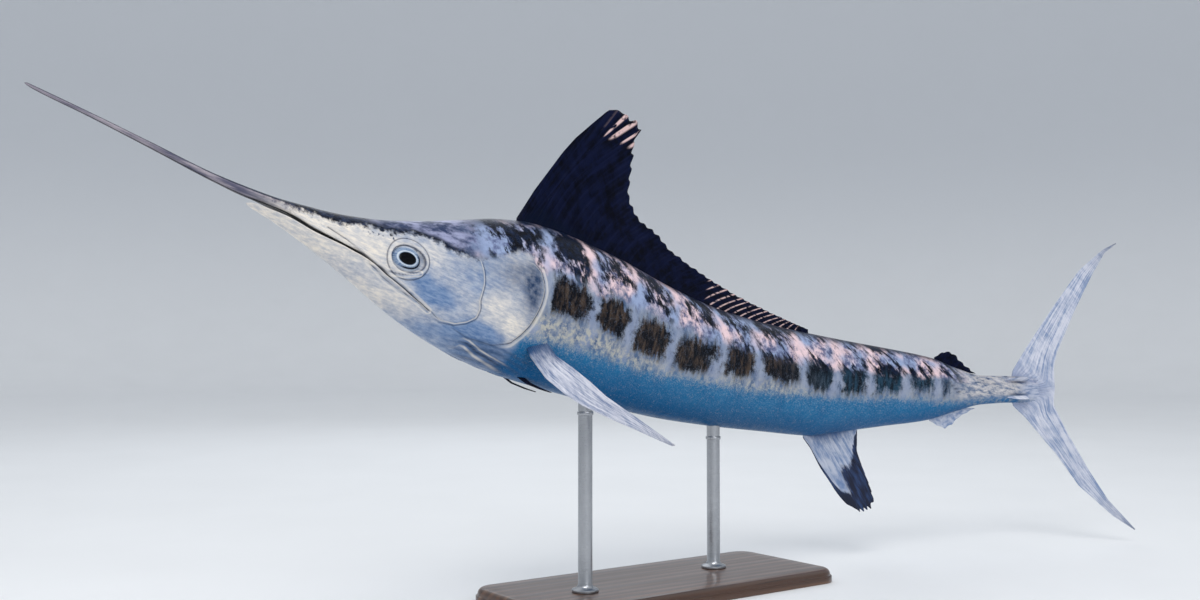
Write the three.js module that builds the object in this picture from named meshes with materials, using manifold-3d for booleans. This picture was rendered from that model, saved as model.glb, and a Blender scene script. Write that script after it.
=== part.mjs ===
// A life-size display model of a marlin, swimming with its tail swept to its left,
// held by two rods on a flat base. Millimetres, +Z up, the fish faces -X, and the
// origin is the middle of the base's underside.
//
// Every piece of the fish is first shaped along a straight backbone: x runs from the
// tip of the lower jaw (0) to the fork of the tail (LENGTH), y to the fish's right and
// z to its back. The finished piece is then bent with the backbone into its pose.
import * as THREE from "three";
import { mergeVertices } from "three/addons/utils/BufferGeometryUtils.js";
import Module from "manifold-3d";

const wasm = await Module();
wasm.setup();

// Driving sizes. A number written as a share is a share of LENGTH.
const LENGTH = 1700;
const GAP = 0.4;
const deg = THREE.MathUtils.degToRad;

// Pose of the backbone. The head is straight; behind NECK the body bends sideways
// with the square of the distance, and its upward slope fades towards the tail.
const NECK = 0.25;
const HEAD_YAW = deg(9.1);
const TAIL_TURN = deg(64.4);
const HEAD_PITCH = deg(14.8);
const PITCH_FADE = deg(20);

// Stations of the body: share along it, back, belly, half width, height of the
// widest level, and how square the upper and the lower half of the section are.
const STATIONS = [
  [-0.02, 0.0036, -0.0024, 0.0048, -0.0004, 1.0, 1.0],
  [0.0, 0.0041, -0.0078, 0.0062, -0.002, 1.0, 1.0],
  [0.03, 0.0056, -0.0142, 0.0098, -0.0035, 0.95, 1.0],
  [0.06, 0.0082, -0.0228, 0.0134, -0.006, 0.92, 1.05],
  [0.1, 0.0155, -0.0362, 0.0186, -0.009, 0.9, 1.08],
  [0.14, 0.0272, -0.0505, 0.0242, -0.01, 0.9, 1.05],
  [0.18, 0.0418, -0.0606, 0.0302, -0.01, 0.95, 1.0],
  [0.22, 0.0567, -0.0668, 0.0352, -0.008, 0.98, 0.95],
  [0.26, 0.066, -0.0692, 0.038, -0.006, 1.0, 0.92],
  [0.3, 0.0688, -0.0694, 0.0392, -0.004, 1.0, 0.92],
  [0.36, 0.0665, -0.0694, 0.0392, -0.004, 1.0, 0.94],
  [0.44, 0.0565, -0.0696, 0.0378, -0.005, 1.0, 0.96],
  [0.52, 0.0485, -0.0676, 0.0355, -0.006, 1.0, 0.98],
  [0.6, 0.0456, -0.065, 0.0322, -0.006, 1.0, 1.0],
  [0.66, 0.0442, -0.0642, 0.0294, -0.006, 1.0, 1.0],
  [0.7, 0.0428, -0.0582, 0.027, -0.0055, 1.0, 1.0],
  [0.77, 0.0392, -0.0472, 0.0222, -0.004, 1.0, 1.0],
  [0.83, 0.0332, -0.0384, 0.0174, -0.003, 1.0, 1.0],
  [0.87, 0.0222, -0.027, 0.0138, -0.002, 1.0, 1.0],
  [0.905, 0.0148, -0.0186, 0.0108, -0.001, 1.0, 1.0],
  [0.945, 0.0148, -0.0162, 0.0082, -0.0005, 1.0, 1.0],
  [1.0, 0.0162, -0.0172, 0.005, 0, 1.0, 1.0],
];
const SIDES = 24;
const RING_PITCH = 0.0218;
const ROUNDNESS = 0.96;

// A smooth curve through one column of a table, with no overshoot between its rows.
function smoothColumn(table, column) {
  const x = table.map((row) => row[0]);
  const y = table.map((row) => row[column]);
  const slope = x.slice(1).map((v, i) => (y[i + 1] - y[i]) / (v - x[i]));
  const tangent = x.map((_, i) => {
    if (i === 0 || i === x.length - 1) return slope[Math.min(i, slope.length - 1)];
    const [before, after] = [slope[i - 1], slope[i]];
    return before * after <= 0 ? 0 : (2 * before * after) / (before + after);
  });
  return (at) => {
    const v = THREE.MathUtils.clamp(at, x[0], x[x.length - 1]);
    let i = 0;
    while (i < x.length - 2 && v > x[i + 1]) i += 1;
    const h = x[i + 1] - x[i];
    const t = (v - x[i]) / h;
    const [t2, t3] = [t * t, t * t * t];
    return (
      (2 * t3 - 3 * t2 + 1) * y[i] +
      (t3 - 2 * t2 + t) * h * tangent[i] +
      (3 * t2 - 2 * t3) * y[i + 1] +
      (t3 - t2) * h * tangent[i + 1]
    );
  };
}

const [back, belly, halfWidth, widest, upperPower, lowerPower] = [1, 2, 3, 4, 5, 6].map((column) =>
  smoothColumn(STATIONS, column),
);

// The backbone, walked in short steps: place, upward and rightward directions.
const STEP = 0.0025;
const BACKBONE_START = -0.2;
const BACKBONE_END = 1.15;
const backbone = [];
{
  const place = new THREE.Vector3();
  for (let s = BACKBONE_START; s < BACKBONE_END; s += STEP) {
    const behind = THREE.MathUtils.clamp(s - NECK, 0, 1 - NECK);
    const yaw = HEAD_YAW - TAIL_TURN * behind * behind;
    const pitch = HEAD_PITCH - PITCH_FADE * behind;
    const along = new THREE.Vector3(
      Math.cos(pitch) * Math.cos(yaw),
      Math.cos(pitch) * Math.sin(yaw),
      -Math.sin(pitch),
    );
    const right = new THREE.Vector3(-Math.sin(yaw), Math.cos(yaw), 0);
    const up = new THREE.Vector3().crossVectors(along, right);
    backbone.push({ place: place.clone(), up, right });
    place.addScaledVector(along, STEP * LENGTH);
  }
}

// The point at x, y, z of the straight fish, on the bent fish, before it is set on the stand.
function bendPoint(x, y, z) {
  const at = (x / LENGTH - BACKBONE_START) / STEP;
  const i = THREE.MathUtils.clamp(Math.floor(at), 0, backbone.length - 2);
  const [a, b] = [backbone[i], backbone[i + 1]];
  const t = at - i;
  const point = a.place.clone().lerp(b.place, t);
  const right = a.right.clone().lerp(b.right, t);
  const up = a.up.clone().lerp(b.up, t);
  return point.addScaledVector(right, y).addScaledVector(up, z);
}

// The stand's base lies under this share of the body, and the tail's lower tip
// clears the floor by TAIL_CLEARANCE.
const BASE_UNDER = 0.445;
const TAIL_LOW = { s: 1.1, z: -0.1673 };
const TAIL_CLEARANCE = 25;
const settle = bendPoint(BASE_UNDER * LENGTH, 0, 0).negate();
settle.z = TAIL_CLEARANCE - bendPoint(TAIL_LOW.s * LENGTH, 0, TAIL_LOW.z * LENGTH).z;

function posePoint(x, y, z) {
  return bendPoint(x, y, z).add(settle);
}

// A closed mesh from rings of points; both ends are closed by joining the ring's two sides.
function loft(rings) {
  const sides = rings[0].length;
  const points = rings.flat();
  const faces = [];
  const last = (rings.length - 1) * sides;
  for (let r = 0; r < rings.length - 1; r += 1) {
    for (let i = 0; i < sides; i += 1) {
      const [a, b] = [r * sides + i, r * sides + ((i + 1) % sides)];
      faces.push(a, b, a + sides, b, b + sides, a + sides);
    }
  }
  for (let i = 0; i < sides / 2; i += 1) {
    const j = (sides - i) % sides;
    const [next, across] = [i + 1, sides - i - 1];
    if (i > 0) {
      faces.push(i, j, next, last + i, last + next, last + j);
    } else {
      faces.push(i, across, next, last + i, last + next, last + across);
    }
    if (i > 0 && next !== across) {
      faces.push(next, j, across, last + next, last + across, last + j);
    }
  }
  const geometry = new THREE.BufferGeometry().setFromPoints(points);
  geometry.setIndex(faces);
  return geometry;
}

// A closed geometry as a solid that can be cut and joined.
function solidOf(geometry) {
  const bare = new THREE.BufferGeometry().setAttribute("position", geometry.getAttribute("position"));
  bare.setIndex(geometry.index);
  const merged = mergeVertices(bare, 1e-3);
  const kept = [];
  const index = merged.index.array;
  for (let i = 0; i < index.length; i += 3) {
    const [a, b, c] = [index[i], index[i + 1], index[i + 2]];
    if (a !== b && b !== c && c !== a) kept.push(a, b, c);
  }
  const make = (triangles) =>
    new wasm.Manifold(
      new wasm.Mesh({
        numProp: 3,
        vertProperties: new Float32Array(merged.attributes.position.array),
        triVerts: new Uint32Array(triangles),
      }),
    );
  const solid = make(kept);
  if (solid.volume() >= 0) return solid;
  return make(kept.map((_, i) => kept[i - (i % 3) + [0, 2, 1][i % 3]]));
}

// Only the largest closed body of a solid, without loose scraps.
function largest(solid) {
  return solid.decompose().reduce((a, b) => (a.volume() >= b.volume() ? a : b));
}

// A solid as a geometry, moved point by point when a map is given.
function geometryOf(solid, map) {
  const mesh = solid.getMesh();
  const step = mesh.numProp;
  const points = [];
  for (let i = 0; i < mesh.numVert; i += 1) {
    const [x, y, z] = mesh.vertProperties.subarray(i * step, i * step + 3);
    points.push(map ? map(x, y, z) : new THREE.Vector3(x, y, z));
  }
  const geometry = new THREE.BufferGeometry().setFromPoints(points);
  geometry.setIndex(Array.from(mesh.triVerts));
  return geometry;
}

const root = new THREE.Group();

const MATERIALS = {
  back_skin: [0x1d2b4a, 0.35, 0.15],
  silver_skin: [0xaebfd0, 0.3, 0.25],
  bill_skin: [0x8d8890, 0.45, 0.05],
  dark_fin: [0x0c1430, 0.4, 0.05],
  pale_fin: [0xb9c4d6, 0.35, 0.1],
  eye: [0x20303f, 0.08, 0],
  stand_wood: [0x3a2c22, 0.45, 0],
  stand_steel: [0x9a9da1, 0.3, 0.9],
};

function addMesh(name, geometry, finish) {
  const [color, roughness, metalness] = MATERIALS[finish];
  geometry.computeVertexNormals();
  const mesh = new THREE.Mesh(
    geometry,
    new THREE.MeshStandardMaterial({ color, roughness, metalness }),
  );
  mesh.name = name;
  root.add(mesh);
}

// A solid of the straight fish, bent into the pose.
function posed(solid) {
  return solidOf(geometryOf(solid, posePoint));
}

// Adds a posed solid as a named piece.
function addPiece(name, solid, finish) {
  addMesh(name, geometryOf(largest(solid)), finish);
}

// One section of the body, grown outwards by a margin in mm.
function bodyRing(s, grow = 0) {
  const mid = widest(s) * LENGTH;
  const up = back(s) * LENGTH - mid + grow;
  const down = mid - belly(s) * LENGTH + grow;
  const half = halfWidth(s) * LENGTH + grow;
  return Array.from({ length: SIDES }, (_, i) => {
    const angle = (i / SIDES) * 2 * Math.PI;
    const [c, d] = [Math.cos(angle), Math.sin(angle)];
    const power = c > 0 ? upperPower(s) : lowerPower(s);
    const z = mid + (c > 0 ? up : down) * Math.sign(c) * Math.abs(c) ** ROUNDNESS;
    const y = i % (SIDES / 2) === 0 ? 0 : half * Math.sign(d) * Math.abs(d) ** power;
    return new THREE.Vector3(s * LENGTH, y, z);
  });
}

// The body between two shares of its length, grown by a margin.
function bodyLength(from, to, grow = 0, pitch = RING_PITCH) {
  const steps = Math.max(1, Math.round((to - from) / pitch));
  const rings = Array.from({ length: steps + 1 }, (_, i) =>
    bodyRing(THREE.MathUtils.lerp(from, to, i / steps), grow),
  );
  return solidOf(loft(rings));
}

// A plate-shaped cutter: an outline of shares [s, h], reaching from y0 to y1.
function slab(outline, y0, y1) {
  const shape = new THREE.Shape(outline.map(([s, h]) => new THREE.Vector2(s * LENGTH, h * LENGTH)));
  const geometry = new THREE.ExtrudeGeometry(shape, { depth: y1 - y0, bevelEnabled: false });
  geometry.rotateX(Math.PI / 2);
  geometry.translate(0, y1, 0);
  return solidOf(geometry);
}

// An ellipsoid turned about the upright axis.
function ellipsoid(centre, radii, turn = 0, detail = 20) {
  const geometry = new THREE.SphereGeometry(1, detail, Math.round(detail * 0.6));
  geometry.rotateX(Math.PI / 2);
  geometry.scale(...radii);
  geometry.rotateZ(turn);
  geometry.translate(...centre);
  return solidOf(geometry);
}

const FISH_SIDES = [
  ["left", -1],
  ["right", 1],
];
const FAR = 150;
const SLIVER = 0.5;
const onSide = (outline, side, from = SLIVER) =>
  side < 0 ? slab(outline, -FAR, -from) : slab(outline, from, FAR);

// Head: the skull with the mouth slit, lips, eye sockets, nostrils and gill pockets.
const JAW_REAR = 0.172;
const HEAD_REAR = 0.262;
const BILL_REAR = 0.012;
const HEAD_FRONT = -0.03;
const JAW_CORNER = -0.047;
const LOW = -0.12;
const HIGH = 0.05;
const UPPER_EDGE = [
  [-0.03, -0.001],
  [0, -0.003],
  [0.025, -0.004],
  [0.0525, -0.0088],
  [0.0875, -0.0142],
  [0.119, -0.0245],
  [0.157, -0.0389],
  [0.1685, -0.0443],
];
const LOWER_EDGE = [
  [-0.03, -0.0058],
  [0, -0.006],
  [0.025, -0.0066],
  [0.0525, -0.0111],
  [0.0875, -0.0156],
  [0.119, -0.0256],
  [0.157, -0.0397],
  [0.1685, -0.0449],
];
const LIP_HEIGHT = 0.0034;
const LIP_SWELL = 1.2;
const LIP_MARGIN = 0.0015;

function lipBand(edge, rise) {
  const inner = edge.slice(1);
  const outer = inner.map(([s, h]) => [s, h + rise]).reverse();
  return slab([...inner, ...outer], -FAR, FAR);
}

const skull = bodyLength(0, HEAD_REAR);
const swollen = bodyLength(LIP_MARGIN, HEAD_REAR - LIP_MARGIN, LIP_SWELL);
const belowUpper = slab(
  [...UPPER_EDGE, [JAW_REAR, JAW_CORNER], [JAW_REAR, LOW], [HEAD_FRONT, LOW]],
  -FAR,
  FAR,
);
const jawRegion = slab(
  [
    ...LOWER_EDGE,
    [JAW_REAR - GAP / LENGTH, JAW_CORNER],
    [JAW_REAR - GAP / LENGTH, LOW],
    [HEAD_FRONT, LOW],
  ],
  -FAR,
  FAR,
);

// Eye: an oval ball under a raised rim, seen through an oval opening.
const EYE_AT = [0.1287 * LENGTH, 22.5, -0.0088 * LENGTH];
const EYE_TAPER = deg(-8);
const EYE_BALL = [25, 17, 20];
const EYE_OPENING = [20.5, 26, 15.8];
const EYE_RIM = [28.5, 18.6, 26];
const EYE_TUNNEL = 48;
const EYE_DETAIL = 16;

// Nostrils: two openings on each side, as share along, height, side.
const NOSTRILS = [
  [0.1045, 0.007, 0.0155],
  [0.1125, 0.0056, 0.0178],
];
const NOSTRIL_RADII = [3.4, 3, 2];
const NOSTRIL_DETAIL = 10;

// The opercle's outline, and the preopercle plate on its front part.
const COVER = [
  [0.1735, 0.012],
  [0.2, 0.0185],
  [0.226, 0.0245],
  [0.2435, 0.0234],
  [0.2515, 0.0188],
  [0.256, 0.0105],
  [0.258, 0.0027],
  [0.2573, -0.007],
  [0.255, -0.0165],
  [0.2508, -0.0285],
  [0.2455, -0.0378],
  [0.239, -0.0463],
  [0.225, -0.0515],
  [0.2, -0.0515],
  [0.1735, -0.0452],
];
const PREOPERCLE = [
  [0.1745, 0.011],
  [0.185, 0.0135],
  [0.1935, 0.0054],
  [0.198, -0.008],
  [0.197, -0.0225],
  [0.2005, -0.035],
  [0.1935, -0.0413],
  [0.185, -0.0455],
  [0.1745, -0.0448],
];
const COVER_THICK = 5;
const COVER_SWELL = 0.8;
const PREOPERCLE_SWELL = 2;
const SLIT = 2.2;
const SLIT_FROM = 0.24;

// The gill membrane below the cover, its folds stepping down like slats.
const MEMBRANE_LOW = -0.08;
const MEMBRANE = [
  [0.1745, -0.0472],
  [0.2, -0.0532],
  [0.225, -0.0533],
  [0.24, -0.0482],
  [0.2565, -0.0525],
  [0.2605, -0.0585],
  [0.2605, MEMBRANE_LOW],
  [0.1745, MEMBRANE_LOW],
];
const MEMBRANE_FOLDS = 3;
const FOLD_PITCH = 0.0042;
const MEMBRANE_SWELL = 1.1;
const MEMBRANE_THICK = 4;

// An outline of shares with every edge moved outwards by a margin in mm.
function grown(outline, margin) {
  const count = outline.length;
  const doubled = outline.reduce((sum, [s, h], i) => {
    const [s2, h2] = outline[(i + 1) % count];
    return sum + s * h2 - s2 * h;
  }, 0);
  const outward = (margin / LENGTH) * Math.sign(doubled);
  return outline.map(([s, h], i) => {
    const [before, after] = [outline[(i + count - 1) % count], outline[(i + 1) % count]];
    const edges = [
      [s - before[0], h - before[1]],
      [after[0] - s, after[1] - h],
    ].map(([a, b]) => [b / Math.hypot(a, b), -a / Math.hypot(a, b)]);
    const [n1, n2] = edges;
    const spread = 1 + n1[0] * n2[0] + n1[1] * n2[1];
    return [s + ((n1[0] + n2[0]) / spread) * outward, h + ((n1[1] + n2[1]) / spread) * outward];
  });
}

const HEAD_REACH = [0.14, 0.27];
const underCover = bodyLength(...HEAD_REACH, -COVER_THICK);
const underMembrane = bodyLength(...HEAD_REACH, -MEMBRANE_THICK);
const pocketFloor = bodyLength(...HEAD_REACH, -COVER_THICK - GAP);
const membraneFloor = bodyLength(...HEAD_REACH, -MEMBRANE_THICK - GAP);
const bodyFront = bodyLength(...HEAD_REACH);

let upperHead = skull.add(lipBand(UPPER_EDGE, LIP_HEIGHT).intersect(swollen)).subtract(belowUpper);
upperHead = upperHead.subtract(
  slab(
    [
      [HEAD_FRONT, HIGH],
      [BILL_REAR, HIGH],
      [BILL_REAR, LOW],
      [HEAD_FRONT, LOW],
    ],
    -FAR,
    FAR,
  ),
);

for (const [label, side] of FISH_SIDES) {
  const centre = [EYE_AT[0], side * EYE_AT[1], EYE_AT[2]];
  const turn = side < 0 ? -EYE_TAPER : EYE_TAPER;
  const ball = ellipsoid(centre, EYE_BALL, turn, EYE_DETAIL);
  const socket = ellipsoid(
    centre,
    EYE_BALL.map((v) => v + GAP),
    turn,
    EYE_DETAIL,
  );
  const tunnel = ellipsoid([centre[0], side * EYE_TUNNEL, centre[2]], EYE_OPENING, turn, EYE_DETAIL);
  upperHead = upperHead.add(ellipsoid(centre, EYE_RIM, turn, EYE_DETAIL)).subtract(socket).subtract(tunnel);
  addPiece(`eye_${label}`, posed(ball), "eye");

  for (const [s, h, w] of NOSTRILS) {
    const opening = [s * LENGTH, side * w * LENGTH, h * LENGTH];
    upperHead = upperHead.subtract(ellipsoid(opening, NOSTRIL_RADII, 0, NOSTRIL_DETAIL));
  }

  const pocket = onSide(
    grown(COVER, GAP).map(([s, h]) => (s > SLIT_FROM ? [s + SLIT / LENGTH, h] : [s, h])),
    side,
  ).subtract(pocketFloor);
  const cover = onSide(COVER, side)
    .intersect(bodyLength(...HEAD_REACH, COVER_SWELL))
    .add(onSide(PREOPERCLE, side).intersect(bodyLength(...HEAD_REACH, PREOPERCLE_SWELL)))
    .subtract(underCover);
  upperHead = upperHead.subtract(pocket);
  addPiece(`gill_cover_${label}`, posed(cover), "silver_skin");

  const membranePocket = onSide(grown(MEMBRANE, GAP), side, SLIVER - GAP).subtract(membraneFloor);
  upperHead = upperHead.subtract(membranePocket);
  let membrane = onSide(MEMBRANE, side).intersect(bodyFront);
  for (let fold = 1; fold <= MEMBRANE_FOLDS; fold += 1) {
    const drop = (fold - 0.5) * FOLD_PITCH;
    const lower = MEMBRANE.map(([s, h]) => [s, Math.max(h - drop, MEMBRANE_LOW)]);
    const layer = bodyLength(...HEAD_REACH, (MEMBRANE_SWELL * fold) / MEMBRANE_FOLDS);
    membrane = membrane.add(onSide(lower, side).intersect(layer));
  }
  membrane = membrane.subtract(underMembrane).subtract(onSide(grown(COVER, GAP), side));
  addPiece(`gill_membrane_${label}`, posed(membrane.intersect(onSide(MEMBRANE, side))), "silver_skin");
}
addPiece("head", posed(upperHead), "silver_skin");
addPiece(
  "lower_jaw",
  posed(
    bodyLength(0, JAW_REAR + RING_PITCH)
      .add(lipBand(LOWER_EDGE, -LIP_HEIGHT).intersect(swollen))
      .intersect(jawRegion),
  ),
  "silver_skin",
);

// Bill: upper edge, underside and half width, drawn out to a blunt point.
const BILL = [
  [-0.162, 0.01485, 0.01455, 0.0002],
  [-0.1605, 0.0154, 0.0139, 0.0008],
  [-0.155, 0.0151, 0.0128, 0.0013],
  [-0.119, 0.0125, 0.0096, 0.0021],
  [-0.076, 0.0088, 0.0048, 0.0029],
  [-0.024, 0.0044, -0.0014, 0.004],
  [0, 0.0041, -0.0032, 0.0052],
  [BILL_REAR, 0.0044, -0.0034, 0.0066],
];
const BILL_SIDES = 12;
const BILL_RINGS = 16;
const BILL_TIP_CROWDING = 1.35;
const [billTop, billUnder, billHalf] = [1, 2, 3].map((column) => smoothColumn(BILL, column));
{
  const from = BILL[0][0];
  const to = BILL_REAR - GAP / LENGTH;
  const rings = Array.from({ length: BILL_RINGS + 1 }, (_, i) => {
    const s = from + (to - from) * (i / BILL_RINGS) ** BILL_TIP_CROWDING;
    const mid = (billTop(s) + billUnder(s)) / 2;
    const tall = (billTop(s) - billUnder(s)) / 2;
    return Array.from({ length: BILL_SIDES }, (__, j) => {
      const angle = (j / BILL_SIDES) * 2 * Math.PI;
      return new THREE.Vector3(
        s * LENGTH,
        billHalf(s) * LENGTH * Math.sin(angle),
        (mid + tall * Math.cos(angle)) * LENGTH,
      );
    });
  });
  addPiece("bill", posed(solidOf(loft(rings))), "bill_skin");
}

// Body behind the head: name, front and rear end, finish.
const BODY_PIECES = [
  ["torso_front", HEAD_REAR, 0.45, "back_skin"],
  ["torso_rear", 0.45, 0.64, "back_skin"],
  ["tail_stock", 0.64, 0.9, "back_skin"],
  ["caudal_peduncle", 0.9, 0.98, "silver_skin"],
];
for (const [name, from, to, finish] of BODY_PIECES) {
  addPiece(name, posed(bodyLength(from + GAP / LENGTH, to)), finish);
}
const bodySkin = BODY_PIECES.reduce(
  (skin, [, from, to]) => skin.add(posed(bodyLength(from - GAP / LENGTH, to + GAP / LENGTH, GAP))),
  posed(bodyLength(0, HEAD_REAR, GAP)),
);

// A polyline's points by arc length, for a fraction from 0 to 1.
function pointOn(line, fraction) {
  const lengths = line.slice(1).map((p, i) => Math.hypot(...p.map((v, k) => v - line[i][k])));
  const total = lengths.reduce((a, b) => a + b, 0);
  let rest = THREE.MathUtils.clamp(fraction, 0, 1) * total;
  let i = 0;
  while (i < lengths.length - 1 && rest > lengths[i]) {
    rest -= lengths[i];
    i += 1;
  }
  const t = lengths[i] > 0 ? Math.min(rest / lengths[i], 1) : 0;
  return line[i].map((v, k) => v + (line[i + 1][k] - v) * t);
}

// A plate with its rays standing as ridges on both faces. place(u, v) is the point on
// its middle surface at a share u across the rays and v along them; half(u, v, ridge) is
// half its thickness, where ridge is 1 on a ray and 0 between two rays.
function rayedPlate(rays, rows, place, half) {
  const columns = rays * 2 + 1;
  const at = (i, j) => {
    const [u, v] = [i / (columns - 1), j / rows];
    const d = 1e-3;
    const [u0, u1] = [Math.max(u - d, 0), Math.min(u + d, 1)];
    const [v0, v1] = [Math.max(v - d, 0), Math.min(v + d, 1)];
    const across = place(u1, v).sub(place(u0, v));
    const along = place(u, v1).sub(place(u, v0));
    const normal = across.cross(along).normalize();
    const thick = half(u, v, i % 2);
    const middle = place(u, v, i % 2);
    return [
      middle.clone().addScaledVector(normal, thick),
      middle.clone().addScaledVector(normal, -thick),
    ];
  };
  const points = [[], []];
  for (let i = 0; i < columns; i += 1) {
    for (let j = 0; j <= rows; j += 1) {
      at(i, j).forEach((point, face) => points[face].push(point));
    }
  }
  const index = (i, j, face) => (face * columns + i) * (rows + 1) + j;
  const faces = [];
  const quad = (a, b, c, e) => faces.push(a, b, c, a, c, e);
  for (let i = 0; i < columns - 1; i += 1) {
    for (let j = 0; j < rows; j += 1) {
      quad(index(i, j, 0), index(i + 1, j, 0), index(i + 1, j + 1, 0), index(i, j + 1, 0));
      faces.push(index(i, j, 1), index(i + 1, j + 1, 1), index(i + 1, j, 1));
      faces.push(index(i, j, 1), index(i, j + 1, 1), index(i + 1, j + 1, 1));
    }
    quad(index(i, 0, 0), index(i, 0, 1), index(i + 1, 0, 1), index(i + 1, 0, 0));
    quad(index(i + 1, rows, 0), index(i + 1, rows, 1), index(i, rows, 1), index(i, rows, 0));
  }
  for (let j = 0; j < rows; j += 1) {
    quad(index(0, j + 1, 0), index(0, j + 1, 1), index(0, j, 1), index(0, j, 0));
    const last = columns - 1;
    quad(index(last, j, 0), index(last, j, 1), index(last, j + 1, 1), index(last, j + 1, 0));
  }
  const geometry = new THREE.BufferGeometry().setFromPoints(points.flat());
  geometry.setIndex(faces);
  return solidOf(geometry);
}

const RAY_TIP_HALF = 0.45;
const FIN_FALL = 0.6;
const FIN_WEB = 0.62;

// A fin standing in the fish's own middle plane. Its rays run from the base line to the
// edge line; spread pairs a share of the base with the share of the edge its ray reaches.
function medianFin({ base, edge, spread, rays, rows, root: rootHalf, from = 0, to = 1, notch, bow }) {
  const place = (u, v, ridge = 1) => {
    const across = THREE.MathUtils.lerp(from, to, u);
    const foot = pointOn(base, across);
    const k = spread.findIndex(([share]) => share >= across);
    const [[u0, e0], [u1, e1]] = [spread[Math.max(k - 1, 0)], spread[Math.max(k, 1)]];
    const end = pointOn(edge, e0 + ((across - u0) / (u1 - u0)) * (e1 - e0));
    const reach = v * (ridge ? 1 : 1 - notch);
    const bend = bow * Math.sin(Math.PI * v) * Math.hypot(end[0] - foot[0], end[1] - foot[1]);
    return new THREE.Vector3(
      (foot[0] + (end[0] - foot[0]) * reach - bend) * LENGTH,
      0,
      (foot[1] + (end[1] - foot[1]) * reach) * LENGTH,
    );
  };
  const half = (u, v, ridge) =>
    THREE.MathUtils.lerp(rootHalf, RAY_TIP_HALF, v ** FIN_FALL) * (ridge ? 1 : FIN_WEB);
  return rayedPlate(rays, rows, place, half);
}

// Lines of the fins in shares of LENGTH.
const SINK = 0.004;
const backLine = (from, to, count = 24) =>
  Array.from({ length: count + 1 }, (_, i) => {
    const s = THREE.MathUtils.lerp(from, to, i / count);
    return [s, back(s) - SINK];
  });
const bellyLine = (from, to, count = 12) =>
  Array.from({ length: count + 1 }, (_, i) => {
    const s = THREE.MathUtils.lerp(from, to, i / count);
    return [s, belly(s) + SINK];
  });

const DORSAL_EDGE = [
  [0.2435, 0.066],
  [0.257, 0.0964],
  [0.281, 0.1401],
  [0.293, 0.1579],
  [0.312, 0.1799],
  [0.328, 0.1975],
  [0.339, 0.2017],
  [0.355, 0.2022],
  [0.367, 0.2027],
  [0.378, 0.1984],
  [0.371, 0.1838],
  [0.371, 0.1693],
  [0.373, 0.1448],
  [0.374, 0.1309],
  [0.38, 0.1227],
  [0.393, 0.1124],
  [0.424, 0.1034],
  [0.443, 0.0923],
  [0.488, 0.0799],
  [0.544, 0.0678],
  [0.607, 0.0575],
  [0.652, 0.0485],
];
const DORSAL = {
  base: backLine(0.243, 0.658),
  edge: DORSAL_EDGE,
  spread: [
    [0, 0],
    [0.1, 0.27],
    [0.24, 0.47],
    [1, 1],
  ],
  rows: 5,
  root: 3,
  notch: 0.03,
  bow: 0.04,
};
const DORSAL_RAYS = 40;
const LOBE_RAYS = 16;
const DORSAL_SPLIT = 0.27;
const DORSAL_GAP = 0.0011;

const SMALL_FIN_SPREAD = [
  [0, 0],
  [0.3, 0.3],
  [1, 1],
];
const MEDIAN_FINS = {
  dorsal_fin_lobe: ["dark_fin", { ...DORSAL, rays: LOBE_RAYS, to: DORSAL_SPLIT }],
  dorsal_fin_rear: [
    "dark_fin",
    { ...DORSAL, rays: DORSAL_RAYS - LOBE_RAYS, rows: 4, from: DORSAL_SPLIT + DORSAL_GAP },
  ],
  second_dorsal_fin: [
    "dark_fin",
    {
      base: backLine(0.838, 0.872),
      edge: [
        [0.839, 0.0335],
        [0.847, 0.0385],
        [0.856, 0.0421],
        [0.867, 0.04],
        [0.878, 0.0293],
        [0.898, 0.0168],
      ],
      spread: SMALL_FIN_SPREAD,
      rays: 6,
      rows: 5,
      root: 2.2,
      notch: 0.03,
      bow: 0.02,
    },
  ],
  anal_fin_first: [
    "pale_fin",
    {
      base: bellyLine(0.657, 0.734),
      edge: [
        [0.658, -0.0668],
        [0.67, -0.0774],
        [0.685, -0.096],
        [0.711, -0.1227],
        [0.73, -0.1391],
        [0.746, -0.1433],
        [0.762, -0.139],
        [0.764, -0.1281],
        [0.758, -0.1156],
        [0.744, -0.0917],
        [0.736, -0.078],
        [0.7345, -0.056],
      ],
      spread: [
        [0, 0],
        [0.2, 0.52],
        [0.45, 0.6],
        [1, 1],
      ],
      rays: 12,
      rows: 6,
      root: 2.8,
      notch: 0.03,
      bow: -0.02,
    },
  ],
  anal_fin_second: [
    "pale_fin",
    {
      base: bellyLine(0.834, 0.872),
      edge: [
        [0.835, -0.0388],
        [0.846, -0.044],
        [0.857, -0.0476],
        [0.866, -0.043],
        [0.876, -0.0335],
        [0.897, -0.0232],
      ],
      spread: SMALL_FIN_SPREAD,
      rays: 6,
      rows: 5,
      root: 2.2,
      notch: 0.03,
      bow: 0.02,
    },
  ],
};
for (const [name, [finish, shape]] of Object.entries(MEDIAN_FINS)) {
  addPiece(name, posed(medianFin(shape)).subtract(bodySkin), finish);
}

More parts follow.
